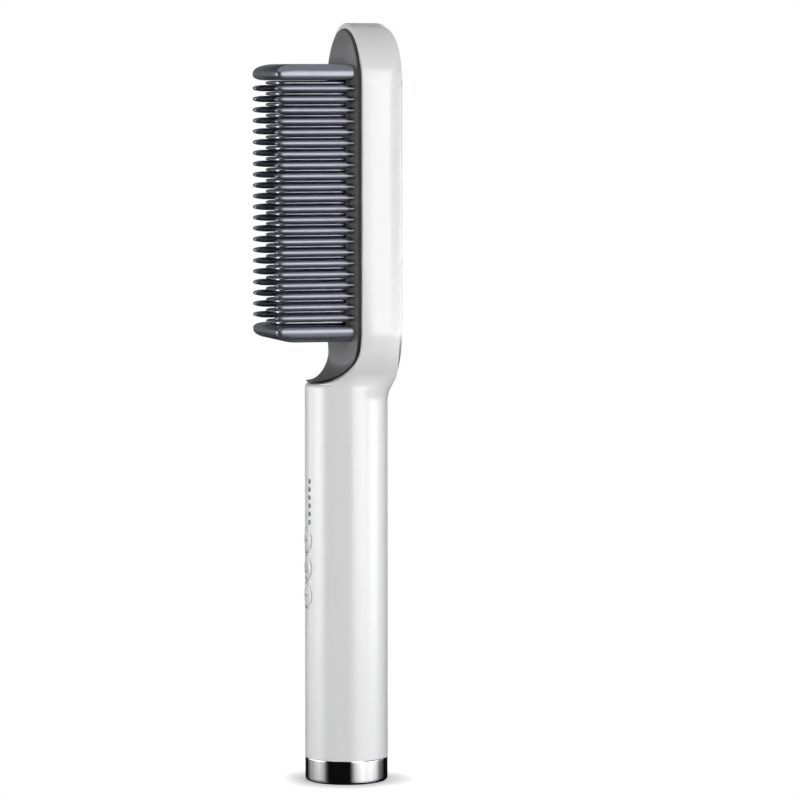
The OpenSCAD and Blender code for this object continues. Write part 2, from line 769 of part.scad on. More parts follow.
module base_cap() color("#d9dadb") union() {
    difference() {
        union() {
            translate([0, 0, lip_t]) cylinder(r = cap_r, h = base_h - lip_t - fit, $fn = round_fn);
            translate([0, 0, lip_t]) cylinder(r = bore_r - fit / 2, h = base_h - lip_t + spigot_l, $fn = round_fn);
        }
        translate([0, 0, cap_floor]) cylinder(r = bore_r - cap_wall, h = base_h + spigot_l, $fn = round_fn);
        translate([0, 0, -over]) cylinder(r = swivel_r + swivel_gap, h = cap_floor + 2 * over, $fn = round_fn);
    }
    intersection() {
        translate([0, 0, cap_floor - over]) cylinder(r = bore_r - over, h = base_h + spigot_l, $fn = round_fn);
        for (side = [0, 1]) rotate([0, 0, 180 * side])
            translate([contact_x + 0.6, -2, cap_floor - over / 2])
                cube([bore_r, 4, ring_low + side * ring_step - cap_floor + over / 2]);
    }
}

module contact_brushes() color("#c9a227") {
    for (side = [0, 1]) rotate([0, 0, 180 * side])
        translate([contact_r + contact_gap, -1.5, ring_low + side * ring_step])
            cube([contact_x + 2 - contact_r - contact_gap, 3, contact_h]);
}

module contact_rings() color("#c9a227") {
    for (side = [0, 1]) translate([0, 0, ring_low + side * ring_step - 0.4]) difference() {
        cylinder(r = contact_r, h = contact_h + 0.8, $fn = round_fn);
        translate([0, 0, -over]) cylinder(r = stem_r, h = contact_h + 2 * over + 0.8, $fn = round_fn);
    }
}

swivel_top = ring_low + ring_step + contact_h + 3;
swivel_flange = 1.2;

module cord_swivel() color("#2a2b2d") rotate_extrude($fn = round_fn) polygon([
    [inlet_r, swivel_recess], [swivel_r, swivel_recess], [swivel_r, cap_floor + 0.15],
    [contact_x + 0.2, cap_floor + 0.15], [contact_x + 0.2, cap_floor + 0.15 + swivel_flange],
    [stem_r, cap_floor + 0.15 + swivel_flange], [stem_r, swivel_top], [inlet_r, swivel_top]
]);

// Each wire stands on its brush and ends on the back of the board
function power_path(start) = [
    [0, start], [0, start + 1], [0, board_low - 6], [-0.4, board_low - 3],
    [board_back + 1.6, board_low + 1], [board_back + wire_r, board_low + 4], [board_back + wire_r, board_low + 8]
];

module power_leads() color("#3556a0") {
    wire(contact_x, power_path(ring_low + contact_h));
    wire(-contact_x, power_path(ring_low + ring_step + contact_h));
}

housing();
comb_frame();
guard_teeth_right();
guard_teeth_left();
end_guard_top();
end_guard_bottom();
heat_plate();
heating_fins();
ptc_heater();
mica_sheet();
heater_clamp();
heater_screws();
thermistor();
thermal_fuse();
heat_shield();
shield_screws();
back_bezel();
back_panel();
control_board();
tact_switches();
plus_button();
power_button();
minus_button();
plus_plunger();
power_plunger();
minus_plunger();
light_guide();
led_array();
microcontroller();
triac();
film_capacitor();
electrolytic_capacitor();
board_fuse();
heater_leads();
power_leads();
base_ring();
base_cap();
cord_swivel();
contact_rings();
contact_brushes();
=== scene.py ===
# %% [markdown]
# # A heated straightening comb, piece by piece
# The comb stands on a chrome foot. It has a round white handle with three buttons and a column of
# lights, a long rounded head, and a block of hot fins between two rows of cool teeth.
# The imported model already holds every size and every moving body. This lesson builds finer skins
# for what the eye sees, gives each piece a finish made of nodes, and lights it like a small studio.

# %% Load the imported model
import json

import bmesh
import bpy
import numpy as np
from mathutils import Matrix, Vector

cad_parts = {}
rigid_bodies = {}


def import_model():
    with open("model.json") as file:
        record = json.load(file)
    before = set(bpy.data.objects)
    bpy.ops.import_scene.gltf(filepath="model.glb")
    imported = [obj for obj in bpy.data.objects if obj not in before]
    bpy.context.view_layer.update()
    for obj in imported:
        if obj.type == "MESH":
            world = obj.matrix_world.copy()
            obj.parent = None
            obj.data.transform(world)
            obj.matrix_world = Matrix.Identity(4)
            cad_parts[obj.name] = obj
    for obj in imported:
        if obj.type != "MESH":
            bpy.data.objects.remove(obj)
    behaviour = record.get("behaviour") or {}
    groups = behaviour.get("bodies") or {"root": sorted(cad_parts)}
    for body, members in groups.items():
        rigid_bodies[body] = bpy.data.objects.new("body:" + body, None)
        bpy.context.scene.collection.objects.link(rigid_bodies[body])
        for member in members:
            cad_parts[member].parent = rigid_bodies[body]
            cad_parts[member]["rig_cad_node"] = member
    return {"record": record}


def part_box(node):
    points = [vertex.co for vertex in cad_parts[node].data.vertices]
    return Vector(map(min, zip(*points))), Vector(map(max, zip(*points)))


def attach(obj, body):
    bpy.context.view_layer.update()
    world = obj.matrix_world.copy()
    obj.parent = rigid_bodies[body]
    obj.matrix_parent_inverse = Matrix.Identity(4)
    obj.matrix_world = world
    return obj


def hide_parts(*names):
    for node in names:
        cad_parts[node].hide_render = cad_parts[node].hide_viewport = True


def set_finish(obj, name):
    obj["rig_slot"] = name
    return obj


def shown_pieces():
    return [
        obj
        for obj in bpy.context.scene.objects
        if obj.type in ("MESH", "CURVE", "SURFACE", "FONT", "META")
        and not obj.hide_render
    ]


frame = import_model()
bpy.context.view_layer.update()

# %% [markdown]
# ## Tools for making meshes
# Nearly every piece here is a row of closed rings with faces between them: a handle is a row of
# outlines up its height, a tooth a row of small rectangles, a bezel a row of slots. So one function
# makes faces between rings, and the rings themselves come from formulas on whole arrays.
# Lengths are in millimetres until the last moment, because that is how such a product is drawn.

# %% Faces between rings
MM = 0.001


def skin(rings, joined=False):
    """Four-cornered faces between neighbouring rings of points, each ring closed on itself.

    The two end rings get a flat lid. With joined, the last ring runs back into the first instead.
    """
    count, around = rings.shape[:2]
    here = np.arange(count if joined else count - 1)[:, None]
    step = np.arange(around)[None, :]
    beyond, beside = (here + 1) % count, (step + 1) % around
    row, next_row = here * around, beyond * around
    corners = [row + step, row + beside, next_row + beside, next_row + step]
    faces = np.stack(corners, axis=-1).reshape(-1, 4).tolist()
    if not joined:
        lid = np.arange(around)
        faces += [lid[::-1].tolist(), (lid + (count - 1) * around).tolist()]
    return rings.reshape(-1, 3), faces


def rings_of(x, y, z):
    """Stacks three arrays of the same or a matching shape into rings of points."""
    return np.stack(np.broadcast_arrays(x, y, z), axis=-1).astype(float)


# %% One mesh from several closed skins
def volume_of(mesh):
    """Volume inside a closed mesh: a sixth of a . (b x c), added up over its triangles."""
    mesh.calc_loop_triangles()
    points = np.empty(len(mesh.vertices) * 3)
    mesh.vertices.foreach_get("co", points)
    corners = np.empty(len(mesh.loop_triangles) * 3, dtype=int)
    mesh.loop_triangles.foreach_get("vertices", corners)
    a, b, c = points.reshape(-1, 3)[corners.reshape(-1, 3)].transpose(1, 0, 2)
    return float(np.einsum("ij,ij->i", a, np.cross(b, c)).sum() / 6)


def mesh_of(name, *skins):
    """Puts closed skins, in millimetres, into one mesh in metres. A skin that is inside out has a
    volume below zero, and is turned round."""
    gathered = bmesh.new()
    for points, faces in skins:
        part = bpy.data.meshes.new("part")
        part.from_pydata(points * MM, [], faces)
        if volume_of(part) < 0:
            part.flip_normals()
        gathered.from_mesh(part)
        bpy.data.meshes.remove(part)
    mesh = bpy.data.meshes.new(name)
    gathered.to_mesh(mesh)
    gathered.free()
    return mesh


# %% Cutting with Booleans
def carve(mesh, *cutters, how="DIFFERENCE"):
    """Cuts closed meshes out of a closed mesh, or keeps only what lies inside them."""
    work = bpy.data.objects.new("work", mesh)
    tools = [bpy.data.objects.new("cutter", cutter) for cutter in cutters]
    for each in [work, *tools]:
        bpy.context.scene.collection.objects.link(each)
    for tool in tools:
        cut = work.modifiers.new("cut", "BOOLEAN")
        cut.solver, cut.operation, cut.object = "MANIFOLD", how, tool
    solved = work.evaluated_get(bpy.context.evaluated_depsgraph_get())
    result = bpy.data.meshes.new_from_object(solved)
    for each in [work, *tools]:
        bpy.data.objects.remove(each)
    name = mesh.name
    bpy.data.meshes.remove(mesh)
    result.name = name
    return result


def joined_mesh(mesh, *others):
    """Adds closed meshes to the first one, uncut: they may run into each other."""
    gathered = bmesh.new()
    for each in [mesh, *others]:
        gathered.from_mesh(each)
    gathered.to_mesh(mesh)
    gathered.free()
    return mesh


# %% Put a finished piece in the scene
def place(mesh, body, slot, replaces, sharp=35):
    """Shades a mesh smooth up to the given angle in degrees and hangs it on its CAD body."""
    mesh.polygons.foreach_set("use_smooth", np.ones(len(mesh.polygons), dtype=bool))
    mesh.set_sharp_from_angle(angle=np.radians(sharp))
    piece = bpy.data.objects.new(mesh.name, mesh)
    bpy.context.scene.collection.objects.link(piece)
    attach(piece, body)
    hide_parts(*replaces)
    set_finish(piece, slot)
    print(f"{mesh.name}: {len(mesh.polygons)} faces, {1e9 * volume_of(mesh):.0f} cubic mm")
    return piece


# %% Shapes that come up again and again
def smooth(t):
    """Grows from 0 to 1 with no kink: 3 t squared minus 2 t cubed, held at both ends."""
    t = np.clip(t, 0, 1)
    return t * t * (3 - 2 * t)


def mix(a, b, t):
    """Share t of the way from a to b."""
    return a + (b - a) * t


def slot_ring(radius, low, top, depth, steps=49):
    """Outline of an upright slot with round ends: a half circle round height top, then one round
    height low. The other arguments may be columns, so that one call makes many rings."""
    turn = np.linspace(0, np.pi, steps)
    turn = np.concatenate([turn, turn + np.pi])
    centre = np.where(np.arange(2 * steps) < steps, top, low)
    return rings_of(radius * np.cos(turn), depth, centre + radius * np.sin(turn))


def slot_block(radius, low, top, front, back):
    """Solid slot between two depths."""
    depth = np.array([[front], [back]])
    return skin(slot_ring(radius, low, top, depth))


def turned(profile, steps=128, joined=True):
    """A profile of (radius, height) turned about the handle's axis."""
    radius, height = np.array(profile, dtype=float).T[:, :, None]
    turn = np.linspace(0, 2 * np.pi, steps, endpoint=False)
    return skin(rings_of(radius * np.cos(turn), radius * np.sin(turn), height), joined)


def peg(radius, x, z, front, back, steps=48):
    """Round peg along Y."""
    turn = np.linspace(0, 2 * np.pi, steps, endpoint=False)
    depth = np.array([[front], [back]])
    return skin(rings_of(x + radius * np.cos(turn), depth, z + radius * np.sin(turn)))


def across(profile, reach, start=None):
    """Profile of (y, z) points carried across the comb from -reach, or from start, to reach."""
    y, z = np.array(profile).T
    return skin(rings_of(np.array([[-reach if start is None else start], [reach]]), y, z))


def box(x0, x1, y0, y1, z0, z1):
    """Plain block, for cuts and for what stays inside."""
    return across([(y0, z0), (y1, z0), (y1, z1), (y0, z1)], x1, x0)


def corners_of(node):
    """Lowest and highest corner of a CAD node, in millimetres."""
    return [np.array(corner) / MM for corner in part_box(node)]


# %% [markdown]
# ## The white shell
# The real shell is one glossy ABS moulding: a round handle that swells into a long flat-backed head.
# A cylinder and a slab joined by a Boolean would leave a hard line at the neck. So the outside is
# a stack of outlines up the height, each worked out from the same rules: how wide the shell is
# there, how far it reaches back and how far forward, and how much of the head's square corner is
# left in it. Below the teeth the front is scooped out, and that scoop is part of the stack too, so
# that its rim gets a small rounding that catches the light.

# %% Sizes of the shell
HANDLE_R, HEAD_R, WALL = 15.0, 23.0, 2.0
HEAD_LOW, HEAD_TOP = 165.0, 252.0
BACK_Y, BACK_ROUND, BACK_DROP = 15.0, 1.6, 4.5
RIM, RIM_ROUND, RIM_LEAST, RIM_GROWS = 0.3, 0.35, 0.02, 3.0
BASE_H, SEAM = 8.6, 0.15
NECK_R, NECK_BLEND, NECK_LOW = 8.0, 11.0, 134.0
OPENING_R, OPENING_LOW = HEAD_R - WALL, HEAD_LOW + 1.0
SCOOP_R, LIP_R = 13.6, 1.5
SCOOP_FLOOR = OPENING_LOW - OPENING_R
SCOOP_Z = SCOOP_FLOOR + SCOOP_R
SCOOP_AHEAD = RIM + SCOOP_R
# The head's side is drawn in by 0.6 mm at the scoop and 0.35 mm further up, over the last 5 mm
# before the rim. These are the heights over which that grows, gets less and ends.
SIDE_Y, SIDE_LOW, SIDE_HIGH = 5.0, 0.6, 0.35
SIDE_MARGIN, SIDE_GROWS, SIDE_FADES = 4.0, 14.0, 40.0
# HAIR keeps two faces from touching, and LAST keeps the top outline from closing to a line.
HAIR, LAST = 0.1, 0.003

FILLET_X = HANDLE_R + NECK_R
FILLET_Z = HEAD_LOW - np.sqrt((HEAD_R + NECK_R) ** 2 - FILLET_X**2)
FILLET_END = HEAD_LOW - (HEAD_LOW - FILLET_Z) * HEAD_R / (HEAD_R + NECK_R)
print(f"neck fillet from {FILLET_Z:.1f} to {FILLET_END:.1f} mm")
print(f"scoop from {SCOOP_FLOOR:.1f} to {SCOOP_Z:.1f} mm")


# %% How wide and how deep the shell is at a height
def root(square):
    """Square root that treats what is below zero as zero."""
    return np.sqrt(np.maximum(0, square))


def half_width(z):
    """Handle, then the neck's fillet, the head's round lower end, its straight side and round top."""
    fillet = FILLET_X - root(NECK_R**2 - (z - FILLET_Z) ** 2)
    low_end = root(HEAD_R**2 - (HEAD_LOW - z) ** 2)
    top_end = root(HEAD_R**2 - (z - HEAD_TOP) ** 2)
    steps = [z <= FILLET_Z, z <= FILLET_END, z <= HEAD_LOW, z <= HEAD_TOP]
    return np.select(steps, [HANDLE_R + 0 * z, fillet, low_end, HEAD_R + 0 * z], top_end)


def edge_at(z, reach, wide, deep):
    """A face at distance reach whose edge is a quarter of an ellipse, wide by deep, cut at height z:
    how far it still reaches, and the width and depth of the corner there. Both change over the top."""
    past = np.maximum(0, z - HEAD_TOP - HEAD_R + wide) / wide
    here = reach - deep * (1 - root(1 - past**2))
    over_top = half_width(z) - root((HEAD_R - wide) ** 2 - (z - HEAD_TOP) ** 2)
    return here, np.where(z <= HEAD_TOP, wide, over_top), here - reach + deep


def head_share(x, z):
    """All of the head inside its rounded edge, then less and less of it: with t the share of the
    blend's width, (1 + 4t)(1 - t)^4 falls off fast and runs out slowly, which looks hollow."""
    outside = np.hypot(x, np.maximum(0, HEAD_LOW - z)) - HEAD_R + BACK_ROUND
    t = np.clip(outside / NECK_BLEND, 0, 1)
    return (1 + 4 * t) * (1 - t) ** 4


def lip_depth(z):
    """The handle's front edge rounds over under the scoop, then the head's outline takes over."""
    lip = HANDLE_R - LIP_R + root(LIP_R**2 - np.maximum(0, z - SCOOP_FLOOR + LIP_R) ** 2)
    head = mix(HANDLE_R - LIP_R, RIM + 1, smooth((z - SCOOP_FLOOR) / SCOOP_R))
    return np.where(z <= SCOOP_FLOOR, lip, head)


def side_inset(z):
    """How far the head's side is drawn in at the front rim: it grows over the scoop, gets less up
    the head and is gone where the round top closes."""
    over_scoop = smooth((z - SCOOP_FLOOR - SIDE_MARGIN) / SIDE_GROWS)
    up_head = mix(SIDE_LOW, SIDE_HIGH, smooth((z - SCOOP_Z) / SIDE_FADES))
    return over_scoop * up_head * (1 - smooth((z - HEAD_TOP) / (HEAD_R - SIDE_MARGIN)))


# %% One outline of the shell for every height
def shell_rings(z, steps=28):
    """Closed outlines: two back corners that turn from square to round down the neck, and two
    front corners that stop at the scoop or the rim with a small rounding."""
    z = z[:, None]
    turn = np.linspace(0, np.pi / 2, steps)[None, :]
    wide = half_width(z)

    back, corner_x, corner_y = edge_at(z, BACK_Y, BACK_ROUND, BACK_DROP)
    corner_x = np.minimum(corner_x, wide - HAIR)
    sharp_x = wide - corner_x + corner_x * np.cos(turn)
    sharp_y = back - corner_y + corner_y * np.sin(turn)
    share = head_share(sharp_x, z)
    back_x = mix(HAIR + (wide - HAIR) * np.cos(turn), sharp_x, share)
    back_y = mix(HAIR + (back - HAIR) * np.sin(turn), sharp_y, share)

    throat = smooth((z - SCOOP_FLOOR) / SCOOP_R)
    front = lip_depth(z)
    oval_x = np.minimum(wide - HAIR, mix(wide, 1, throat))
    oval_y = np.minimum(front - HAIR, mix(front, RIM, throat))
    scoop = SCOOP_AHEAD - root(SCOOP_R**2 - np.maximum(0, SCOOP_Z - z) ** 2)
    rim, rim_x, rim_y = edge_at(z, RIM, RIM_ROUND, RIM_ROUND)
    limit = np.minimum(front, np.where(z < SCOOP_FLOOR, front, np.where(z < SCOOP_Z, scoop, rim)))
    grown = np.maximum(RIM_LEAST, smooth((z - SCOOP_FLOOR) / RIM_GROWS))
    rim_x, rim_y = np.minimum(rim_x, wide - HAIR) * grown, rim_y * grown
    ahead = (limit - rim_y) * np.sin(turn)
    side_x = wide - oval_x + oval_x * root(1 - np.clip((ahead - front + oval_y) / oval_y, 0, 1) ** 2)
    bend = np.linspace(0, np.pi / 2, 6)[None, 1:]
    front_x = np.hstack([side_x, side_x[:, -1:] - rim_x * (1 - np.cos(bend))])
    front_y = np.hstack([ahead, ahead[:, -1:] + rim_y * np.sin(bend)])

    # Nine points along the flat side, closer together towards the front, so that smooth shading
    # keeps it flat.
    side_y = back_y[:, :1] * np.linspace(0, 1, 11)[None, 1:-1] ** 1.5
    front_x = np.hstack([np.repeat(wide, side_y.shape[1], axis=1), front_x])
    front_y = np.hstack([-side_y[:, ::-1], front_y])
    front_x = front_x - side_inset(z) * np.clip(1 + front_y / SIDE_Y, 0, 1) ** 2
    x = np.hstack([back_x, -back_x[:, ::-1], -front_x, front_x[:, ::-1]])
    y = np.hstack([back_y, back_y[:, ::-1], -front_y, -front_y[:, ::-1]])
    seam = np.where(z <= BASE_H, 1 - SEAM / HANDLE_R, 1)
    return rings_of(x * seam, y * seam, z)


# The outlines are far apart where the shell runs straight and close together where it turns.
quarter_turn = np.linspace(0, np.pi / 2, 33)
shell_heights = np.concatenate([
    [BASE_H, BASE_H + SEAM],
    np.linspace(BASE_H + 10 * SEAM, NECK_LOW, 84),
    np.linspace(NECK_LOW + 0.4, SCOOP_FLOOR - LIP_R, 18),
    SCOOP_FLOOR - LIP_R * (1 - np.sin(quarter_turn[4::4])),
    SCOOP_Z - SCOOP_R * np.cos(quarter_turn[1:]),
    np.linspace(SCOOP_Z, HEAD_LOW, 12)[1:],
    np.linspace(HEAD_LOW, HEAD_TOP, 34)[1:],
    HEAD_TOP + HEAD_R * np.sin(quarter_turn[1:-1]),
    [HEAD_TOP + HEAD_R - LAST],
])
outside = mesh_of("shell", skin(shell_rings(shell_heights)))
print(len(shell_heights), "outlines,", len(outside.polygons), "faces outside")

# %% [markdown]
# The shell is hollow: a bore for the electronics, a deep opening for the heater, a seat for the
# grey comb frame, a rebate for the bezel, and holes for the buttons and the lights. These are
# straight cuts, so here Booleans are the right tool. The Manifold solver needs closed meshes, which
# the skins are, and gives clean edges in a moment.


# %% Cut the bore, the openings and the holes
def scoop_line(radius):
    """Points along the scoop from its floor up to the rim, at the given radius."""
    turn = np.radians(np.linspace(-90, 0, 37))
    return list(zip(-SCOOP_AHEAD + radius * np.cos(turn), SCOOP_Z + radius * np.sin(turn)))


BORE_R, CAVITY_Y = 13.0, 2.5
PROUD = 0.9
SKIN_T = WALL - PROUD
BORE_TOP = SCOOP_FLOOR - SKIN_T - WALL
PASSAGE_R = 5.0
PASSAGE_TOP = OPENING_LOW - 2 * PASSAGE_R
BEZEL_R, BEZEL_FLOOR = 21.8, 12.8
FIT = 0.1
BUTTON_Z = {"plus": 88.0, "power": 78.0, "minus": 68.0}
BUTTON_R, BUTTON_GAP = 4.5, 0.3
LIGHT_X, LIGHT_R, LIGHT_LOW, LIGHT_PITCH, LIGHTS = 3.0, 0.9, 94.9, 2.96, 6
LIGHT_Z = LIGHT_LOW + LIGHT_PITCH * np.arange(LIGHTS)
# Cutters run on by OVER, to DEEP, which is past the frame, or to FAR, which is outside the comb.
OVER, DEEP, FAR = 1.0, 9.0, 30.0
HOLE_FROM, HOLE_TO = -20.0, -7.5

seat_band = across(scoop_line(SCOOP_R - OVER) + scoop_line(SCOOP_R + SKIN_T)[::-1], FAR)
seat = carve(
    mesh_of("seat", seat_band),
    mesh_of("slot", slot_block(OPENING_R, OPENING_LOW, HEAD_TOP, -FAR, CAVITY_Y)),
    how="INTERSECT",
)
throat = carve(
    mesh_of("throat", slot_block(OPENING_R, OPENING_LOW, HEAD_TOP, -RIM - OVER, CAVITY_Y + OVER)),
    mesh_of("below", box(-FAR, FAR, -DEEP, DEEP, SCOOP_FLOOR - FAR / 2, SCOOP_Z - HAIR)),
)
holes = [peg(BUTTON_R + BUTTON_GAP, 0, z, HOLE_FROM, HOLE_TO, 96) for z in BUTTON_Z.values()]
holes += [peg(LIGHT_R + FIT, LIGHT_X, z, HOLE_FROM, HOLE_TO) for z in LIGHT_Z]
cuts = [
    turned([(BORE_R, BASE_H - OVER), (BORE_R, BORE_TOP)], joined=False),
    slot_block(PASSAGE_R, BORE_TOP, PASSAGE_TOP, CAVITY_Y - OVER, CAVITY_Y + DEEP),
    slot_block(OPENING_R, HEAD_LOW, HEAD_TOP, CAVITY_Y, BACK_Y + OVER),
    slot_block(BEZEL_R + FIT, HEAD_LOW, HEAD_TOP, BEZEL_FLOOR, BACK_Y + OVER),
    *holes,
]
shell_mesh = carve(outside, seat, throat, *[mesh_of("cut", cut) for cut in cuts])

# %% Rails that hold the circuit board
BOARD_Y, BOARD_HALF_T, BOARD_HALF_W = -5.18, 0.8, 10.54
BOARD_LOW, BOARD_L, RAIL_W, RAIL_LIP = BASE_H + 12.5, 105.0, 4.8, 1.0


def rail(side):
    """U-shaped rail against the bore: a channel with its slot towards the middle."""
    outer = BORE_R + WALL / 4
    lips = [RAIL_W / 2, BOARD_HALF_T + FIT]
    slot, mouth = BOARD_HALF_W + FIT, BOARD_HALF_W - RAIL_LIP
    wall_at = [np.sqrt(outer**2 - (abs(BOARD_Y) + s * lips[0]) ** 2) for s in (1, -1)]
    y = BOARD_Y + np.array([-lips[0], -lips[0], -lips[1], -lips[1], lips[1], lips[1], lips[0], lips[0]])
    x = np.array([wall_at[0], mouth, mouth, slot, slot, mouth, mouth, wall_at[1]])
    return skin(rings_of(side * x, y, np.array([[BOARD_LOW], [BOARD_LOW + BOARD_L]])))


shell_mesh = joined_mesh(shell_mesh, mesh_of("rails", rail(1), rail(-1)))
place(shell_mesh, "comb_body", "white_shell", ["housing"])

# %% [markdown]
# ## The grey frame between the teeth
# The frame is one matte heat-proof moulding. It rises from an upright edge to a flat plateau that
# carries the teeth, and runs down into the scoop as a tongue. Its front is a landscape: for every
# point the height ahead of the handle's axis is the larger of two shapes, the plateau with its
# slope and the tongue in the scoop, with a soft valley where they meet. The rows of the landscape
# are as wide as the slot-shaped opening at each height, and their points crowd towards both ends,
# so that the edge keeps its small rounding without a Boolean.

# %% The frame's landscape
FRAME_R, PLATEAU_R = OPENING_R - FIT, 14.3
PLATEAU, SKIRT, FRAME_BACK, EDGE_ROUND = 3.3, RIM + PROUD, -1.5, 0.35
BROW, VALLEY, TONGUE_FADE, TIP_HALF = 0.4, 1.0, 6.0, 0.02
# The last of these is how wide a band of the frame's upright edge is painted near-black as shade.
WINDOW_HALF, LEDGE, POCKET_FRONT, EDGE_SHADE_BAND = 10.6, 1.0, 2.0 - PLATEAU, 0.45
(_, _, PLATE_LOW), (PLATE_HALF, _, PLATE_TOP) = corners_of("heat_plate")


def soft_max(a, b, width):
    """The larger of two heights, with a valley as wide as width filled where they cross."""
    return np.maximum(a, b) + np.maximum(0, width - np.abs(a - b)) ** 2 / (4 * width)


def frame_front(x, z):
    """How far the frame's front stands ahead of the axis at (x, z)."""
    out = np.hypot(x, z - np.clip(z, OPENING_LOW, HEAD_TOP))
    slope = PLATEAU - (out - PLATEAU_R) * (PLATEAU - SKIRT) / (FRAME_R - PLATEAU_R)
    raised = -soft_max(-slope, -PLATEAU, BROW)
    tongue = SCOOP_AHEAD - root((SCOOP_R - PROUD) ** 2 - np.maximum(0, SCOOP_Z - z) ** 2)
    edge = EDGE_ROUND - root(EDGE_ROUND**2 - np.maximum(0, out - FRAME_R + EDGE_ROUND) ** 2)
    return soft_max(raised, tongue - smooth((z - SCOOP_Z) / TONGUE_FADE), VALLEY) - edge


def frame_rings(z, steps=97):
    """The front of the landscape from right to left, closed by a straight back at every height."""
    z = z[:, None]
    wide = root(FRAME_R**2 - (z - np.clip(z, OPENING_LOW, HEAD_TOP)) ** 2)
    x = np.maximum(wide, TIP_HALF) * np.cos(np.linspace(0, np.pi, steps))
    behind = SCOOP_AHEAD - root((SCOOP_R + SKIN_T - FIT) ** 2 - np.maximum(0, SCOOP_Z - z) ** 2)
    behind = np.where(z < SCOOP_Z, behind, FRAME_BACK)
    ahead = np.hstack([frame_front(x, z), behind, behind])
    return rings_of(np.hstack([x, x[:, -1:], x[:, :1]]), -ahead, z)


frame_turn = np.linspace(0, np.pi / 2, 41)
frame_heights = np.concatenate([
    OPENING_LOW - FRAME_R * np.cos(frame_turn),
    np.linspace(OPENING_LOW, HEAD_TOP, 80)[1:],
    HEAD_TOP + FRAME_R * np.sin(frame_turn[1:]),
])
window = box(-WINDOW_HALF, WINDOW_HALF, -DEEP, DEEP, PLATE_LOW + LEDGE, PLATE_TOP - LEDGE)
pocket_half = PLATE_HALF + FIT
pocket = box(-pocket_half, pocket_half, POCKET_FRONT, DEEP, PLATE_LOW - FIT, PLATE_TOP + FIT)
frame_mesh = mesh_of("frame", skin(frame_rings(frame_heights)))
frame_mesh = carve(frame_mesh, mesh_of("window", window), mesh_of("pocket", pocket))

# %% Teeth's places, and the posts between them
PITCH, TEETH, BLOCK_RAISE = 3.905, 22, 1.5
BLOCK_Z = (OPENING_LOW + HEAD_TOP) / 2 + BLOCK_RAISE
TOOTH_Z = BLOCK_Z + (np.arange(TEETH) - (TEETH - 1) / 2) * PITCH
POST_X, POST_R, POST_FRONT, POST_INSET, SHIELD_Y = 16.0, 2.2, 0.5, 4, 8.2
POST_Z = TOOTH_Z[0] + POST_INSET, TOOTH_Z[-1] - POST_INSET
posts = [peg(POST_R, x, z, POST_FRONT, SHIELD_Y) for x in (-POST_X, POST_X) for z in POST_Z]
frame_mesh = joined_mesh(frame_mesh, mesh_of("posts", *posts))
frame_piece = place(frame_mesh, "comb_body", "frame_plastic", ["comb_frame"])

# %% Which points are on the frame's upright edge, where shade is painted
# The edge is painted near-black further down, where the finishes are made: painted shade for the dark
# gap along the shell's rim.
spots = np.empty(len(frame_piece.data.vertices) * 3)
frame_piece.data.vertices.foreach_get("co", spots)
spot_x, _, spot_z = spots.reshape(-1, 3).T / MM
painted_shade_edge = np.hypot(spot_x, spot_z - np.clip(spot_z, OPENING_LOW, HEAD_TOP)) > FRAME_R - EDGE_SHADE_BAND
# These points are painted near-black later: painted shade, not a colour of the moulding.
frame_piece.data.attributes.new("ink_or_shade", "FLOAT", "POINT").data.foreach_set("value", painted_shade_edge.astype(float))
print(painted_shade_edge.sum(), "points on the frame's edge")

# %% [markdown]
# ## Teeth, guards and fins
# A cool guard tooth is a little glossy blade: pinched where it leaves the frame, nearly straight,
# then pointed like a rowing boat's bow, with bulging sides, so that it slides over the scalp. The
# hot fins between them are shorter, thinner and wider, and a guard at each end of the block closes
# both rows. All of them are bars of one kind of section: widest at a waist, and curved in from
# there to the bar's top and bottom. The bulge matters, because it bends one broad reflection into a
# thin bright line along each tooth. A shape that is repeated many times keeps to a few dozen faces
# and lets smooth shading do the rest.


# %% Rings of a bar
SECTION_TURN = np.radians([90, 68, 45, 22, 0, -22, -45, -68, -90])
STEEP = np.radians(82)


def bar_rings(ahead, x0, x1, waist, up, down, round_up, round_down):
    """Rings of a bar that runs to -Y. At each distance ahead it goes from x0 to x1 and stands up
    above and down below its waist, and both ends curve in by a quarter of an ellipse each way."""
    turn = SECTION_TURN
    rows = np.broadcast_arrays(ahead, x0, x1, up, down, round_up, round_down)
    ahead, x0, x1, up, down, round_up, round_down = (np.reshape(row, (-1, 1)) for row in rows)
    rise = np.where(turn > 0, up, down) * np.sin(turn)
    inward = np.where(turn > 0, round_up, round_down) * (1 - np.cos(turn))
    x = np.hstack([x1 - inward, (x0 + inward)[:, ::-1]])
    return rings_of(x, -ahead, waist + np.hstack([rise, rise[:, ::-1]]))


def bow(ahead, tip, length, root_half, end_half):
    """Half thickness of a pointed bar: straight from its root to its point, then along a cosine
    that stops at the angle STEEP, so that the tip is blunt."""
    along = np.clip((tip - length - ahead) / (tip - length), 0, 1)
    turn = np.arcsin(np.clip((1 - (tip - ahead) / length) * np.sin(STEEP), 0, 1))
    return mix(end_half, root_half, along) * np.cos(turn)


def drawn_in(ahead, tip, radius):
    """How much narrower a bar is on each side near its tip, from a corner of that radius."""
    return radius - root(radius**2 - np.maximum(0, ahead - tip + radius) ** 2)


def point_steps(tip, length, turns=(0, 24, 44, 60, 72, 82)):
    """Distances ahead for the rings of a bar's point, closer together towards the tip."""
    return tip - length * (1 - np.sin(np.radians(turns)) / np.sin(STEEP))


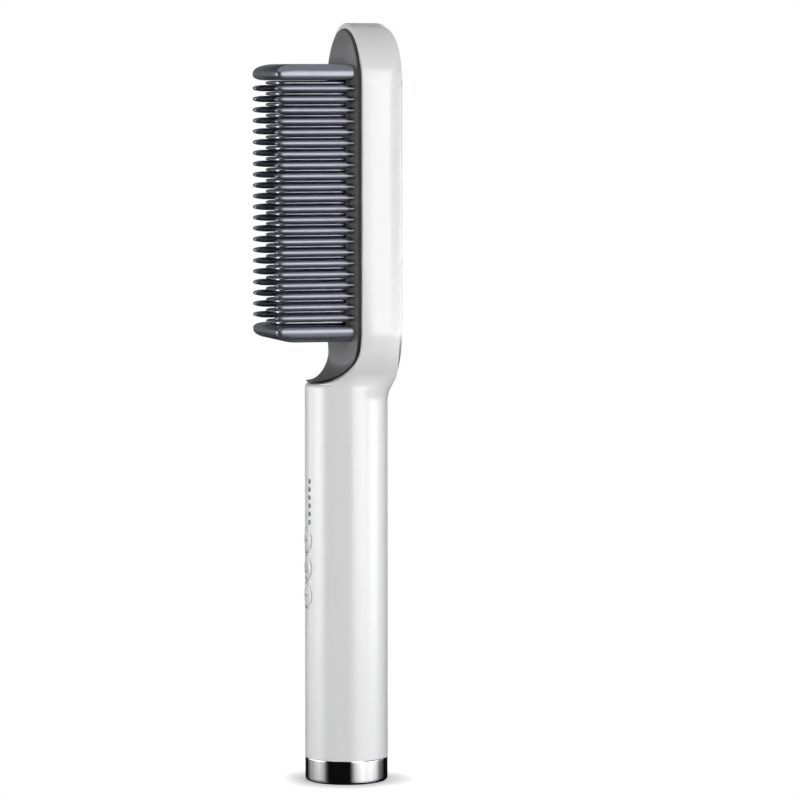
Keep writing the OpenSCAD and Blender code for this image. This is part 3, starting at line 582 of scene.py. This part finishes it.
# %% Guard teeth
ROOT_AHEAD, TIP_AHEAD, TIP_L, TIP_ROUND = 0.9, 30.6, 4.4, 1.6
ROW_X, TOOTH_HALF_W, TOOTH_HALF_T = 15.0, 2.5, 1.3
END_HALF_T = 0.9 * TOOTH_HALF_T
BAR_SOFT, FIN_SOFT = 0.8, 0.9
FLARE, FLARE_L, PINCH, PINCH_L = 0.5, 10.0, 0.7, 2.4
tooth_root = [ROOT_AHEAD, PLATEAU, 3.9, 4.5, 5.1, 5.8, 7.6, 10, PLATEAU + FLARE_L]
tooth_ahead = np.append(tooth_root, point_steps(TIP_AHEAD, TIP_L))
tooth_half_t = bow(tooth_ahead, TIP_AHEAD, TIP_L, TOOTH_HALF_T, END_HALF_T)
tooth_half_w = TOOTH_HALF_W - drawn_in(tooth_ahead, TIP_AHEAD, TIP_ROUND)
flare = FLARE * (1 - np.clip((tooth_ahead - PLATEAU) / FLARE_L, 0, 1)) ** 2
pinch = PINCH * (1 - smooth((tooth_ahead - PLATEAU) / PINCH_L))


def tooth(side, z):
    """One guard tooth of the row on the given side, pinched and a little wider at its root."""
    half_w, half_t = tooth_half_w + flare, tooth_half_t - pinch
    rounding = np.minimum(BAR_SOFT * tooth_half_t, half_w / 2)
    x = side * ROW_X
    return skin(bar_rings(tooth_ahead, x - half_w, x + half_w, z, half_t, half_t, rounding, rounding))


for name, side in (("guard_teeth_right", 1), ("guard_teeth_left", -1)):
    row = mesh_of(name[6:], *[tooth(side, z) for z in TOOTH_Z])
    place(row, "comb_body", "tooth_plastic", [name], sharp=60)

# %% End guards
GUARD_STEP, GUARD_RISE, GUARD_SLANT, GUARD_ROUND = 4.87, 3.85, 8.3, 3.0
GUARD_TIP, GUARD_BOW = 0.5, 1.1
FIN_HALF_T, FIN_END_HALF_T, GUARD_GAP = 0.9, 0.72, 0.14
GUARD_INNER = GUARD_STEP - PITCH / 2 - FIN_HALF_T - GUARD_GAP
GUARD_INNER_END = GUARD_STEP - PITCH / 2 - FIN_END_HALF_T - GUARD_GAP
slant_turn = np.radians([0, 9, 18, 28, 38, 48, 58, 68, 78, 90])
guard_slant = TIP_AHEAD - GUARD_SLANT * (1 - np.sin(slant_turn))
guard_ahead = np.append([ROOT_AHEAD, 8, 14, 20], guard_slant)


def guard_outside(ahead):
    """Height of a guard's outer side over its tip: level, then a bowed slant down to the tip."""
    turn = np.arcsin(np.clip(1 - (TIP_AHEAD - ahead) / GUARD_SLANT, 0, 1))
    return mix(GUARD_RISE, GUARD_TIP, (1 - np.cos(turn)) ** GUARD_BOW)


def end_guard(middle, way):
    """Guard across both rows. way is 1 if its outer side is up and -1 if it is down."""
    inner = bow(guard_ahead, TIP_AHEAD, TIP_L, GUARD_INNER, GUARD_INNER_END)
    outer = guard_outside(guard_ahead)
    half = ROW_X + TOOTH_HALF_W - drawn_in(guard_ahead, TIP_AHEAD, TIP_ROUND)
    rounds = GUARD_ROUND * outer / GUARD_RISE, BAR_SOFT * inner
    up, down = (outer, inner)[::way]
    round_up, round_down = rounds[::way]
    return skin(bar_rings(guard_ahead, -half, half, middle, up, down, round_up, round_down))


for name, middle, way in (
    ("end_guard_top", TOOTH_Z[-1] + GUARD_STEP, 1),
    ("end_guard_bottom", TOOTH_Z[0] - GUARD_STEP, -1),
):
    guard = mesh_of(name[4:], end_guard(middle, way))
    place(guard, "comb_body", "tooth_plastic", [name], sharp=60)

# %% Hot fins
FIN_HALF_W, FIN_ROOT, FIN_TIP, FIN_ROUND, FIN_POINT = 9.5, 1.6, 28.2, 3.0, 0.7 * TIP_L
fin_point = point_steps(FIN_TIP, FIN_POINT, (0, 16, 32, 48, 64, 74, 82))
fin_ahead = np.append([FIN_ROOT, 12], fin_point)
fin_half_t = bow(fin_ahead, FIN_TIP, FIN_POINT, FIN_HALF_T, FIN_END_HALF_T)
fin_half_w = FIN_HALF_W - drawn_in(fin_ahead, FIN_TIP, FIN_ROUND)
fin_sides = fin_half_t, fin_half_t, FIN_SOFT * fin_half_t, FIN_SOFT * fin_half_t
fin_z = np.append(TOOTH_Z, TOOTH_Z[-1] + PITCH) - PITCH / 2
fins = [skin(bar_rings(fin_ahead, -fin_half_w, fin_half_w, z, *fin_sides)) for z in fin_z]
place(mesh_of("fins", *fins), "comb_body", "fin_aluminium", ["heating_fins"], sharp=60)

# %% [markdown]
# ## The bright back
# A satin grey bezel fills the rebate in the flat back. Its face falls towards a groove, and in the
# groove sits a thin silver panel with a slight crown and a polished bevel. Both are slots, so each
# is one profile whose points know their own radius, lower and upper centre and depth. Where the
# outer and inner centres differ, the bezel grows wider at its ends, as the real one does.

# %% Bezel
PANEL_R, PANEL_Y, CROWN = 17.9, 13.2, 0.8
PANEL_LOW, PANEL_TOP = HEAD_LOW + 0.8, HEAD_TOP - 1.9
GROOVE, BEZEL_LIP = 0.4, 14.75
SHELF_R = PANEL_R - 1.6
outer_rim = [(BEZEL_R, BEZEL_FLOOR), (BEZEL_R, 14.5), (BEZEL_R - 0.07, 14.68)]
outer_rim += [(BEZEL_R - 0.25, BEZEL_LIP), (BEZEL_R - 0.4, BEZEL_LIP)]
inner_rim = [(PANEL_R + GROOVE + 0.15, 14.02), (PANEL_R + GROOVE, 13.85)]
inner_rim += [(PANEL_R + GROOVE, PANEL_Y), (SHELF_R, PANEL_Y), (SHELF_R, BEZEL_FLOOR)]
bezel_profile = [(r, HEAD_LOW, HEAD_TOP, y) for r, y in outer_rim]
bezel_profile = np.array(bezel_profile + [(r, PANEL_LOW, PANEL_TOP, y) for r, y in inner_rim])
bezel = mesh_of("bezel", skin(slot_ring(*bezel_profile.T[:, :, None], steps=73), joined=True))
place(bezel, "comb_body", "bezel_metal", ["back_bezel"], sharp=30)

# %% Panel
CROWN_R, BEVEL = (PANEL_R**2 + CROWN**2) / (2 * CROWN), 0.3
FACE_R = PANEL_R - BEVEL
panel_radius = np.array([[PANEL_R, PANEL_R, FACE_R, FACE_R - 0.05, 15, 11, 7, 3, 0.3]]).T


def crown_at(x):
    """Depth of the crowned face at x: a cylinder's arc whose top touches the flat back."""
    return BACK_Y - CROWN_R + np.sqrt(CROWN_R**2 - x**2)


panel_rings = slot_ring(panel_radius, PANEL_LOW, PANEL_TOP, PANEL_Y, steps=73)
panel_rings[1:, :, 1] = crown_at(panel_rings[1:, :, 0])
panel_rings[1, :, 1] -= BEVEL
place(mesh_of("panel", skin(panel_rings)), "comb_body", "panel_metal", ["back_panel"], sharp=20)

# %% [markdown]
# ## The foot
# The chrome ring is turned: one profile with a rounded lower edge goes round the handle's axis. The
# swivel in it lets the cord turn, so it is a piece of its own that rides on its own body, and its
# mouth is belled so that a cord wouldn't chafe.

# %% Base ring and swivel
BASE_ROUND, RING_WALL, FOOT_R, FOOT_T = 1.2, 1.7, 9.5, 1.2
bend = np.linspace(0, np.pi / 2, 13)
foot = [(HANDLE_R - BASE_ROUND * (1 - np.sin(t)), BASE_ROUND * (1 - np.cos(t))) for t in bend]
foot += [(HANDLE_R, BASE_ROUND + 0.2), (HANDLE_R, BASE_H - 0.4)]
foot += [(HANDLE_R, BASE_H - 0.2), (HANDLE_R - 0.06, BASE_H - 0.06), (HANDLE_R - 0.2, BASE_H)]
foot += [(HANDLE_R - RING_WALL, BASE_H), (HANDLE_R - RING_WALL, FOOT_T)]
foot += [(FOOT_R, FOOT_T), (FOOT_R, 0.3), (FOOT_R + 0.1, 0.1), (FOOT_R + 0.3, 0)]
place(mesh_of("foot_ring", turned(foot)), "comb_body", "chrome_base", ["base_ring"])

INLET_R, SWIVEL_R, SWIVEL_LOW, FLANGE_R, STEM_R = 3.1, 6.0, 0.6, 8.6, 4.2
SWIVEL_NECK, SWIVEL_TOP, FLANGE_TOP, BELL = 3.35, 15.6, 4.55, 1.2
bell = [(INLET_R + BELL * (1 - np.cos(t)), SWIVEL_LOW + BELL * (1 - np.sin(t))) for t in bend[::3]]
swivel = bell + [(SWIVEL_R - 0.3, SWIVEL_LOW), (SWIVEL_R, SWIVEL_LOW + 0.3), (SWIVEL_R, SWIVEL_NECK)]
swivel += [(FLANGE_R, SWIVEL_NECK), (FLANGE_R, FLANGE_TOP), (STEM_R, FLANGE_TOP)]
swivel += [(STEM_R, SWIVEL_TOP), (INLET_R, SWIVEL_TOP)]
place(mesh_of("swivel", turned(swivel, 96)), "swivel", "black_plastic", ["cord_swivel"])

# %% [markdown]
# ## Buttons
# Each button is a shallow dome on a flange that keeps it from falling out. The signs for warmer,
# on and off, and cooler are printed in grey. A print has an edge as sharp as a pen line, so each
# sign is a thin ribbon laid over the dome, and an attribute tells the finish which points are ink.

# %% Domes, flanges and printed signs
DOME_AHEAD, DOME_H = 15.2, 0.6
DOME_R = (BUTTON_R**2 + DOME_H**2) / (2 * DOME_H)
FLANGE_AHEAD, FLANGE_T, EAR_W, EAR_H = 11.384, 1.0, 5.7, 3.4
INK, INK_HALF, ROOTED, CAP_EDGE = 0.02, 0.26, -0.2, 0.3
SIGN_HALF, RING_R = 1.8, 1.6


def dome(out):
    """How far ahead the dome is at a distance from its middle: a sphere's cap."""
    return DOME_AHEAD - DOME_R + np.sqrt(DOME_R**2 - out**2)


def button_cap(z):
    """Rings of a cap round its own middle, from the flange over a rounded edge to the dome."""
    bend = np.radians([30, 60, 90])
    edge = BUTTON_R - CAP_EDGE * (1 - np.cos(bend))
    out = np.concatenate([[BUTTON_R, BUTTON_R], edge, [3.2, 2.2, 1.2, 0.2]])
    ahead = dome(out)
    ahead[0], ahead[1] = FLANGE_AHEAD - FLANGE_T / 2, dome(BUTTON_R - CAP_EDGE) - CAP_EDGE
    ahead[2:5] = ahead[1] + CAP_EDGE * np.sin(bend)
    turn = np.linspace(0, 2 * np.pi, 64, endpoint=False)
    out = out[:, None]
    return skin(rings_of(out * np.cos(turn), -ahead[:, None], z + out * np.sin(turn)))


def ribbon(path, z):
    """Thin strip over the dome along a path of (across, up) points, with square ends. Its underside
    is sunk into the dome."""
    path = np.array(path, dtype=float)
    along = np.gradient(path, axis=0)
    along /= np.linalg.norm(along, axis=1, keepdims=True)
    beside = INK_HALF * np.stack([-along[:, 1], along[:, 0]], axis=1)
    edges = np.stack([path + beside, path - beside, path - beside, path + beside], axis=1)
    lift = np.array([INK, INK, ROOTED, ROOTED])
    ahead = dome(np.linalg.norm(edges, axis=2)) + lift
    return skin(rings_of(edges[..., 0], -ahead, z + edges[..., 1]))


# The plus is a level stroke and two upright ones that stop just short of it, so that no strip runs
# into another. The power sign is an open ring with a stroke in its gap.
level = [(x, 0) for x in np.linspace(-SIGN_HALF, SIGN_HALF, 9)]
below = [(0, x) for x, _ in level[:4]] + [(0, -INK_HALF - 0.01)]
above = [(0, INK_HALF + 0.01)] + [(0, x) for x, _ in level[5:]]
arc = np.radians(np.linspace(125, 415, 30))
ring = list(zip(RING_R * np.cos(arc), RING_R * np.sin(arc)))
stroke = [(0, up) for up in np.linspace(0.5, 2.3, 6)]
SIGNS = {"plus": [level, below, above], "power": [ring, stroke], "minus": [level]}
for name, z in BUTTON_Z.items():
    cap = button_cap(z)
    ears = box(-EAR_W, EAR_W, -FLANGE_AHEAD, FLANGE_T - FLANGE_AHEAD, z - EAR_H, z + EAR_H)
    signs = [ribbon(path, z) for path in SIGNS[name]]
    button = mesh_of(f"{name}_cap", cap, ears, *signs)
    printed = np.repeat([0.0, 1.0], [len(cap[0]) + len(ears[0]), sum(len(s[0]) for s in signs)])
    button.attributes.new("ink_or_shade", "FLOAT", "POINT").data.foreach_set("value", printed)
    place(button, name, "button_white", [f"{name}_button"])

# %% [markdown]
# ## Finishes
# Every finish here is moulded, cast, drawn or plated, and what tells them apart is small: how far
# the colour drifts, how rough the surface is, and how deep and how wide its grain runs. So one
# recipe makes them all from real sizes in millimetres, and each finish only names its own numbers.
# The recipe reads Object coordinates, so a pattern stays on its piece, whatever moves.


# %% Colours and nodes
def linear(code):
    """Turns an sRGB hex code into linear light: a straight foot, then a power of 2.4."""
    c = np.array([int(code[i : i + 2], 16) for i in (1, 3, 5)]) / 255
    return (*np.where(c <= 0.04045, c / 12.92, ((c + 0.055) / 1.055) ** 2.4), 1.0)


def add(tree, kind, sockets=None, **choices):
    """Adds one node. Each socket gets its number or colour, or is linked from an output."""
    node = tree.nodes.new("ShaderNode" + kind)
    for name, choice in choices.items():
        setattr(node, name, choice)
    for name, value in (sockets or {}).items():
        if isinstance(value, bpy.types.NodeSocket):
            tree.links.new(value, node.inputs[name])
        else:
            node.inputs[name].default_value = value
    return node


# %% The recipe
FACTOR, FIRST, SECOND, MIXED = 0, 6, 7, 2


def finish(name, tones, gloss, patch, grain, relief, sockets, stretch=(1, 1, 1)):
    """A surface that drifts between two tones in patches, with a grain that roughens and dents it.

    gloss is the lowest and highest roughness. patch, grain and relief are in millimetres: how wide
    the drift is, how wide the grain is and how deep it goes. sockets holds what else the shader
    needs, and stretch pulls the grain into lines.
    """
    material = bpy.data.materials.new(name)
    material.use_nodes = True
    tree = material.node_tree
    tree.nodes.clear()
    spot = add(tree, "TexCoord").outputs["Object"]
    drawn = add(tree, "Mapping", {"Vector": spot, "Scale": stretch}).outputs["Vector"]
    wide = {"Vector": spot, "Scale": 1 / (patch * MM), "Detail": 2}
    close = {"Vector": drawn, "Scale": 1 / (grain * MM), "Detail": 3}
    drift = add(tree, "TexNoise", wide).outputs["Fac"]
    fine = add(tree, "TexNoise", close).outputs["Fac"]
    tone = {FACTOR: drift, FIRST: linear(tones[0]), SECOND: linear(tones[1])}
    colour = add(tree, "Mix", tone, data_type="RGBA").outputs[MIXED]
    span = {"From Min": 0.3, "From Max": 0.7, "To Min": gloss[0], "To Max": gloss[1]}
    rough = add(tree, "MapRange", {"Value": fine, **span}).outputs["Result"]
    dents = {"Height": fine, "Distance": relief * MM, "Strength": 1.0}
    normal = add(tree, "Bump", dents).outputs["Normal"]
    surface = {"Base Color": colour, "Roughness": rough, "Normal": normal, **sockets}
    shader = add(tree, "BsdfPrincipled", surface)
    add(tree, "OutputMaterial", {"Surface": shader.outputs["BSDF"]})
    return material


def make_finishes(rows):
    """One finish for each row of a table, under the name of its slot."""
    return {
        slot: finish(name, (first, second), (least, most), *rest)
        for slot, name, first, second, least, most, *rest in rows
    }


# %% [markdown]
# The plastics first. ABS and the other gloss mouldings come out of a polished mould, which leaves
# a faint ripple about a millimetre wide, like orange peel. Matte ones come out of a spark-eroded
# mould, whose pits are about a tenth of a millimetre wide. They are drawn three to four times as
# coarse here, because finer ones are lost at this size. IOR is that of the real resin.

# %% Plastics
PLASTIC, HEAT_PLASTIC, GLAZED = {"IOR": 1.53}, {"IOR": 1.6}, {"IOR": 1.6, "Metallic": 0.65}
ACRYLIC, SILICONE, POLYIMIDE, MICA = {"IOR": 1.49}, {"IOR": 1.41}, {"IOR": 1.7}, {"IOR": 1.58}
GLASS = {"IOR": 1.52, "Transmission Weight": 0.7}
# Each row: slot, finish, two tones, lowest and highest roughness, patch, grain, relief, sockets.
PLASTICS = [
    # Polished ABS, nearly neutral white: soft reflections over a bright body.
    ("white_shell", "abs_gloss_white", "#f1f1f1", "#eaeaeb", 0.16, 0.22, 40, 1.2, 0.0006, PLASTIC),
    ("button_white", "abs_button", "#f1f1f1", "#ebebec", 0.18, 0.25, 8, 0.8, 0.0006, PLASTIC),
    # Glass-filled polyphenylene sulphide from an eroded mould: matte, with a fine sparkle.
    ("frame_plastic", "pps_matte_grey", "#5f5f61", "#69696b", 0.42, 0.6, 12, 0.35, 0.01, HEAT_PLASTIC),
    # The same resin with a metal-like glaze from a polished mould, so that hair slides: about two
    # thirds of its shine is that of a metal, and each tooth shows one long sheen.
    ("tooth_plastic", "pps_gloss_charcoal", "#6b6c75", "#777882", 0.26, 0.34, 6, 0.35, 0.0008, GLAZED),
    ("black_plastic", "nylon_black", "#1a1a1c", "#222225", 0.4, 0.6, 5, 0.3, 0.008, PLASTIC),
    ("cap_plastic", "abs_moulded_grey", "#4b4b4d", "#535355", 0.45, 0.6, 10, 0.35, 0.01, PLASTIC),
    ("plunger_orange", "acetal_orange", "#d9822f", "#cf7626", 0.35, 0.45, 2, 0.3, 0.004, PLASTIC),
    # Tinted acrylic over the lights: dark until a light behind it is on.
    ("clear_guide", "acrylic_smoked", "#34353a", "#2c2d31", 0.05, 0.1, 3, 0.6, 0.001, ACRYLIC),
    ("led_chip", "silicone_phosphor", "#f2e59e", "#e8d883", 0.3, 0.4, 1, 0.2, 0.003, SILICONE),
    ("capacitor_film", "polyester_box_yellow", "#d8b03b", "#cfa52f", 0.3, 0.4, 4, 0.4, 0.004, PLASTIC),
    ("thermistor_bead", "epoxy_dipped_brown", "#6b402b", "#5d3523", 0.25, 0.35, 1, 0.4, 0.02, PLASTIC),
    # Woven glass in green resin: the weave shows through as a fine grid of lighter spots.
    ("board", "glass_epoxy_laminate", "#29663f", "#33774c", 0.3, 0.4, 0.8, 0.5, 0.004, PLASTIC),
    # Polyimide tape and mica are thin natural-coloured sheets with a waxy sheen.
    ("ceramic_strip", "polyimide_film", "#c6a26a", "#b98f52", 0.25, 0.35, 5, 1.0, 0.01, POLYIMIDE),
    ("mica", "mica_sheet", "#d6c7a1", "#c4b286", 0.3, 0.5, 3, 0.7, 0.01, MICA),
    ("lead_red", "silicone_lead_red", "#b33b33", "#a8342d", 0.45, 0.55, 3, 0.2, 0.004, SILICONE),
    ("lead_blue", "silicone_lead_blue", "#3555a1", "#2e4b92", 0.45, 0.55, 3, 0.2, 0.004, SILICONE),
    ("fuse_glass", "glass_fuse_tube", "#dfe6e8", "#d3dcdf", 0.03, 0.06, 3, 1.0, 0.001, GLASS),
]
finishes = make_finishes(PLASTICS)
print(len(finishes), "plastics and glass")

# %% [markdown]
# The metals. A metal has no colour under its shine, so its base colour is its shine, and the IOR
# stays as it is. Plating on a polished ring is nearly a mirror, a coated fin is soft, and a brushed
# or rolled panel has fine lines along its length, which stretch the highlights across them.

# %% Metals
METAL, SLEEVED = {"Metallic": 1.0}, {"Metallic": 0.5}
# The same columns as for the plastics, then how the grain is stretched.
METALS = [
    # Bright chrome over dark nickel: a mirror that takes away about half of the light.
    ("chrome_base", "chrome_dark_plated", "#b9b9bb", "#b1b1b4", 0.05, 0.08, 20, 2.0, 0.0004, METAL),
    # Die-cast fins under a smooth hard coat.
    ("fin_aluminium", "aluminium_hard_coated", "#9a9caa", "#a4a6b3", 0.3, 0.38, 6, 0.5, 0.002,
     METAL, (0.2, 1, 1)),
    ("plate_aluminium", "aluminium_cast", "#6f7178", "#7b7d84", 0.4, 0.5, 8, 0.6, 0.01, METAL),
    ("spring_steel", "steel_zinc_plated", "#9c9fa3", "#a9acaf", 0.3, 0.4, 5, 0.5, 0.004, METAL),
    # Paint with fine metal flakes over a moulded ring: satin, its sparkle drawn half a millimetre
    # wide.
    ("bezel_metal", "metallic_paint_grey", "#8b8f8e", "#969a98", 0.3, 0.42, 25, 0.5, 0.003, METAL),
    # Rolled sheet, its lines a twentieth of a millimetre apart drawn at a third.
    ("panel_metal", "aluminium_satin_rolled", "#b9bec2", "#c3c7cb", 0.28, 0.31, 30, 0.35, 0.0005,
     METAL, (1, 1, 0.02)),
    ("capacitor_can", "aluminium_sleeved_can", "#3d4a78", "#46538a", 0.3, 0.4, 5, 0.5, 0.003, SLEEVED),
    ("contact_brass", "brass_turned", "#c9a13a", "#bd9530", 0.2, 0.3, 4, 0.3, 0.003, METAL, (1, 1, 6)),
]
finishes |= make_finishes(METALS)
print(len(finishes), "finishes in all")

# %% Print the signs on the buttons, and paint shade on the frame's edge
def print_ink_or_paint_shade(material, tone):
    """Where the mesh's attribute is 1 the finish takes on another tone: printed signs on the buttons,
    painted shade on the frame's edge.
    """
    tree = material.node_tree
    paint = next(n for n in tree.nodes if n.type == "BSDF_PRINCIPLED").inputs["Base Color"]
    inked_or_shaded = add(tree, "Attribute", attribute_name="ink_or_shade").outputs["Fac"]
    ink_or_shade_tones = {FACTOR: inked_or_shaded, FIRST: paint.links[0].from_socket, SECOND: linear(tone)}
    tree.links.new(add(tree, "Mix", ink_or_shade_tones, data_type="RGBA").outputs[MIXED], paint)


print_ink_or_paint_shade(finishes["button_white"], "#a6a9ac")
# The frame's upright edge gets painted shade: near-black where the gap beside the shell's rim lies in
# shadow.
print_ink_or_paint_shade(finishes["frame_plastic"], "#070708")

# %% Give every piece its finish
slot_of = {part["node"]: part["material_slot"] for part in frame["record"]["subparts"]}
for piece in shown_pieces():
    slot = piece.get("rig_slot") or slot_of[piece["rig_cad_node"]]
    piece.data.materials.clear()
    piece.data.materials.append(finishes[slot])

# %% [markdown]
# ## A small studio
# White gloss only looks white if it has something to reflect, and chrome is nothing but what it
# reflects. So the comb stands in a tent, as small shiny products do: a round wall of black felt with
# panels of light let into it. A tall one right of the camera draws the long highlight and the sheen
# along each tooth, low ones carry the light on round the right side, and three on the left give the
# handle its second edge of light. The felt between them leaves the soft dip down the middle and the
# black bands in the chrome. The tent is open to a pale sky at the top. There is no lamp: a mesh can
# glow by a number kept at its points, and so each panel fades out at its edges.

# %% Camera
EYE, TARGET = Vector((1.5534, -0.4458, 0.257)), Vector((0.0056, 0.0187, 0.1387))
scene = bpy.context.scene
camera = bpy.data.objects.new("camera", bpy.data.cameras.new("camera"))
scene.collection.objects.link(camera)
camera.location = EYE
camera.rotation_euler = (TARGET - EYE).to_track_quat("-Z", "Y").to_euler()
camera.data.lens, camera.data.sensor_width = 201, 36
camera.data.clip_start = 0.05
scene.camera = camera
scene.view_settings.view_transform = "Standard"

# %% The tent's wall
TENT_R, TENT_LOW, TENT_TOP = 1.9, -1.7, 1.8
TENT_SIDES, TENT_ROWS, DARK = 90, 71, 0.01
UP, DOWN = (-0.35, -0.05, 0.5, 0.9), (-3, -2, -0.3, -0.05)
PANELS = [
    # How bright it is, then where it starts, is full, ends to be full and stops: as angles to the
    # right of the camera, and as heights in metres. First the tall panel, three low ones to its
    # right and three to its left, then two below the floor and two behind the comb.
    (6.1, (10, 28, 38, 58), (-0.35, -0.05, 0.95, 1.75)),
    (6.0, (36, 52, 62, 80), (-0.35, -0.05, 0.0, 0.15)),
    (8.8, (60, 78, 88, 106), (-0.35, -0.05, 0.0, 0.12)),
    (2.0, (86, 104, 114, 132), (-0.35, -0.05, 0.0, 0.12)),
    (5.0, (-90, -76, -70, -56), UP),
    (6.2, (-106, -92, -86, -72), UP),
    (3.0, (-140, -118, -106, -90), UP),
    (1.3, (8, 45, 58, 118), DOWN),
    (0.5, (-145, -98, -76, -48), DOWN),
    (0.3, (140, 160, 200, 220), UP),
    (2.2, (120, 150, 168, 182), (0.35, 0.5, 1.2, 1.6)),
]


def lit(place, start, full, over, stop):
    """1 inside a panel and 0 outside, changing smoothly across each of its soft edges."""
    return smooth((place - start) / (full - start)) * smooth((stop - place) / (stop - over))


angle, height = np.meshgrid(
    np.linspace(-180, 180, TENT_SIDES, endpoint=False), np.linspace(TENT_LOW, TENT_TOP, TENT_ROWS)
)
# A panel behind the comb runs past 180 degrees, so each angle also counts as one turn more.
glow = np.zeros_like(angle)
for bright, sideways, upright in PANELS:
    share = lit(angle, *sideways) + lit(angle + 360, *sideways)
    glow += bright * share * lit(height, *upright)
facing = np.degrees(np.arctan2(EYE.y, EYE.x))
turn = np.radians(facing + angle)
wall_points, wall_faces = skin(rings_of(TENT_R * np.cos(turn), TENT_R * np.sin(turn), height))
wall_faces.pop()  # the lid, so that the tent is open at the top
wall = bpy.data.meshes.new("tent")
wall.from_pydata(wall_points, [], wall_faces)
wall.attributes.new("glow", "FLOAT", "POINT").data.foreach_set("value", glow.ravel())
print(f"{(glow > DARK).mean():.0%} of the tent glows, up to {glow.max():.1f} times white")

# %% Felt and light panels
panel_light = bpy.data.materials.new("diffuser_cloth")
panel_light.use_nodes = True
tree = panel_light.node_tree
tree.nodes.clear()
strength = add(tree, "Attribute", attribute_name="glow").outputs["Fac"]
shine = add(tree, "Emission", {"Color": linear("#ffffff"), "Strength": strength})
add(tree, "OutputMaterial", {"Surface": shine.outputs[0]})
felt = finish("felt_black", ("#060606", "#0a0a0a"), (0.9, 1.0), 50, 5, 0.1, {})
wall.materials.append(felt)
wall.materials.append(panel_light)
# A face glows if one of its corners does. The last face is the tent's own floor, and is felt.
glowing = glow.ravel()[np.array(wall_faces[:-1])].max(axis=1) > DARK
wall.polygons.foreach_set("material_index", np.append(glowing, False).astype(int))
tent = bpy.data.objects.new("tent", wall)
scene.collection.objects.link(tent)
tent.visible_camera = False

# %% Floor
# Near the foot the floor is paper that takes the comb's real shadow, and its glow for the camera is
# dimmed close to the foot: a painted contact shadow on top of the real one. A few centimetres away it
# turns into even white, which the camera alone sees. Distances are in metres.
FLOOR_HALF = 3.0
EVEN = {"From Min": 0.022, "From Max": 0.07}
# The camera's glow falls from 0.75 to 0.2 towards the foot, which paints a contact shadow.
GLOW_WITH_PAINTED_SHADOW = {"From Min": 0.012, "From Max": 0.03, "To Min": 0.2, "To Max": 0.75}
paper = bpy.data.materials.new("paper_white")
paper.use_nodes = True
tree = paper.node_tree
tree.nodes.clear()
to_camera = add(tree, "LightPath").outputs["Is Camera Ray"]
spot = add(tree, "TexCoord").outputs["Object"]
away = add(tree, "VectorMath", {0: spot}, operation="LENGTH").outputs["Value"]


def seen_away(span):
    """A number that changes smoothly with the distance from the foot, for the camera's rays alone."""
    ramp = add(tree, "MapRange", {"Value": away, **span}, interpolation_type="SMOOTHSTEP")
    return add(tree, "Math", {0: to_camera, 1: ramp.outputs["Result"]}, operation="MULTIPLY").outputs[0]


matte = add(tree, "BsdfDiffuse", {"Color": linear("#f2f2f2")})
# This glow, dimmed near the foot, is painted shadow added to the diffuse paper's real shadow.
soft = add(tree, "Emission", {"Color": linear("#ffffff"), "Strength": seen_away(GLOW_WITH_PAINTED_SHADOW)})
near = add(tree, "AddShader", {0: matte.outputs[0], 1: soft.outputs[0]})
even = add(tree, "Emission", {"Color": linear("#ffffff"), "Strength": to_camera})
both = add(tree, "MixShader", {0: seen_away(EVEN), 1: near.outputs[0], 2: even.outputs[0]})
add(tree, "OutputMaterial", {"Surface": both.outputs[0]})

ground = bpy.data.meshes.new("floor")
signs_of_corners = (-1, -1), (1, -1), (1, 1), (-1, 1)
square = [(x * FLOOR_HALF, y * FLOOR_HALF, 0) for x, y in signs_of_corners]
ground.from_pydata(square, [], [(0, 1, 2, 3)])
ground.materials.append(paper)
floor = bpy.data.objects.new("floor", ground)
scene.collection.objects.link(floor)
floor.visible_glossy = False

# %% Sky
# Even white for the camera and for what shines or lets light through, and dim for all other light.
SKY_DIM = 0.14
world = bpy.data.worlds.new("backdrop")
scene.world = world
world.use_nodes = True
tree = world.node_tree
tree.nodes.clear()
rays = add(tree, "LightPath").outputs
seen = rays["Is Camera Ray"]
for kind in ("Is Glossy Ray", "Is Transmission Ray"):
    seen = add(tree, "Math", {0: seen, 1: rays[kind]}, operation="MAXIMUM").outputs[0]
dim = add(tree, "Background", {"Color": linear("#ffffff"), "Strength": SKY_DIM})
white = add(tree, "Background", {"Color": linear("#ffffff"), "Strength": 1.0})
sky = add(tree, "MixShader", {0: seen, 1: dim.outputs[0], 2: white.outputs[0]})
add(tree, "OutputWorld", {"Surface": sky.outputs[0]})
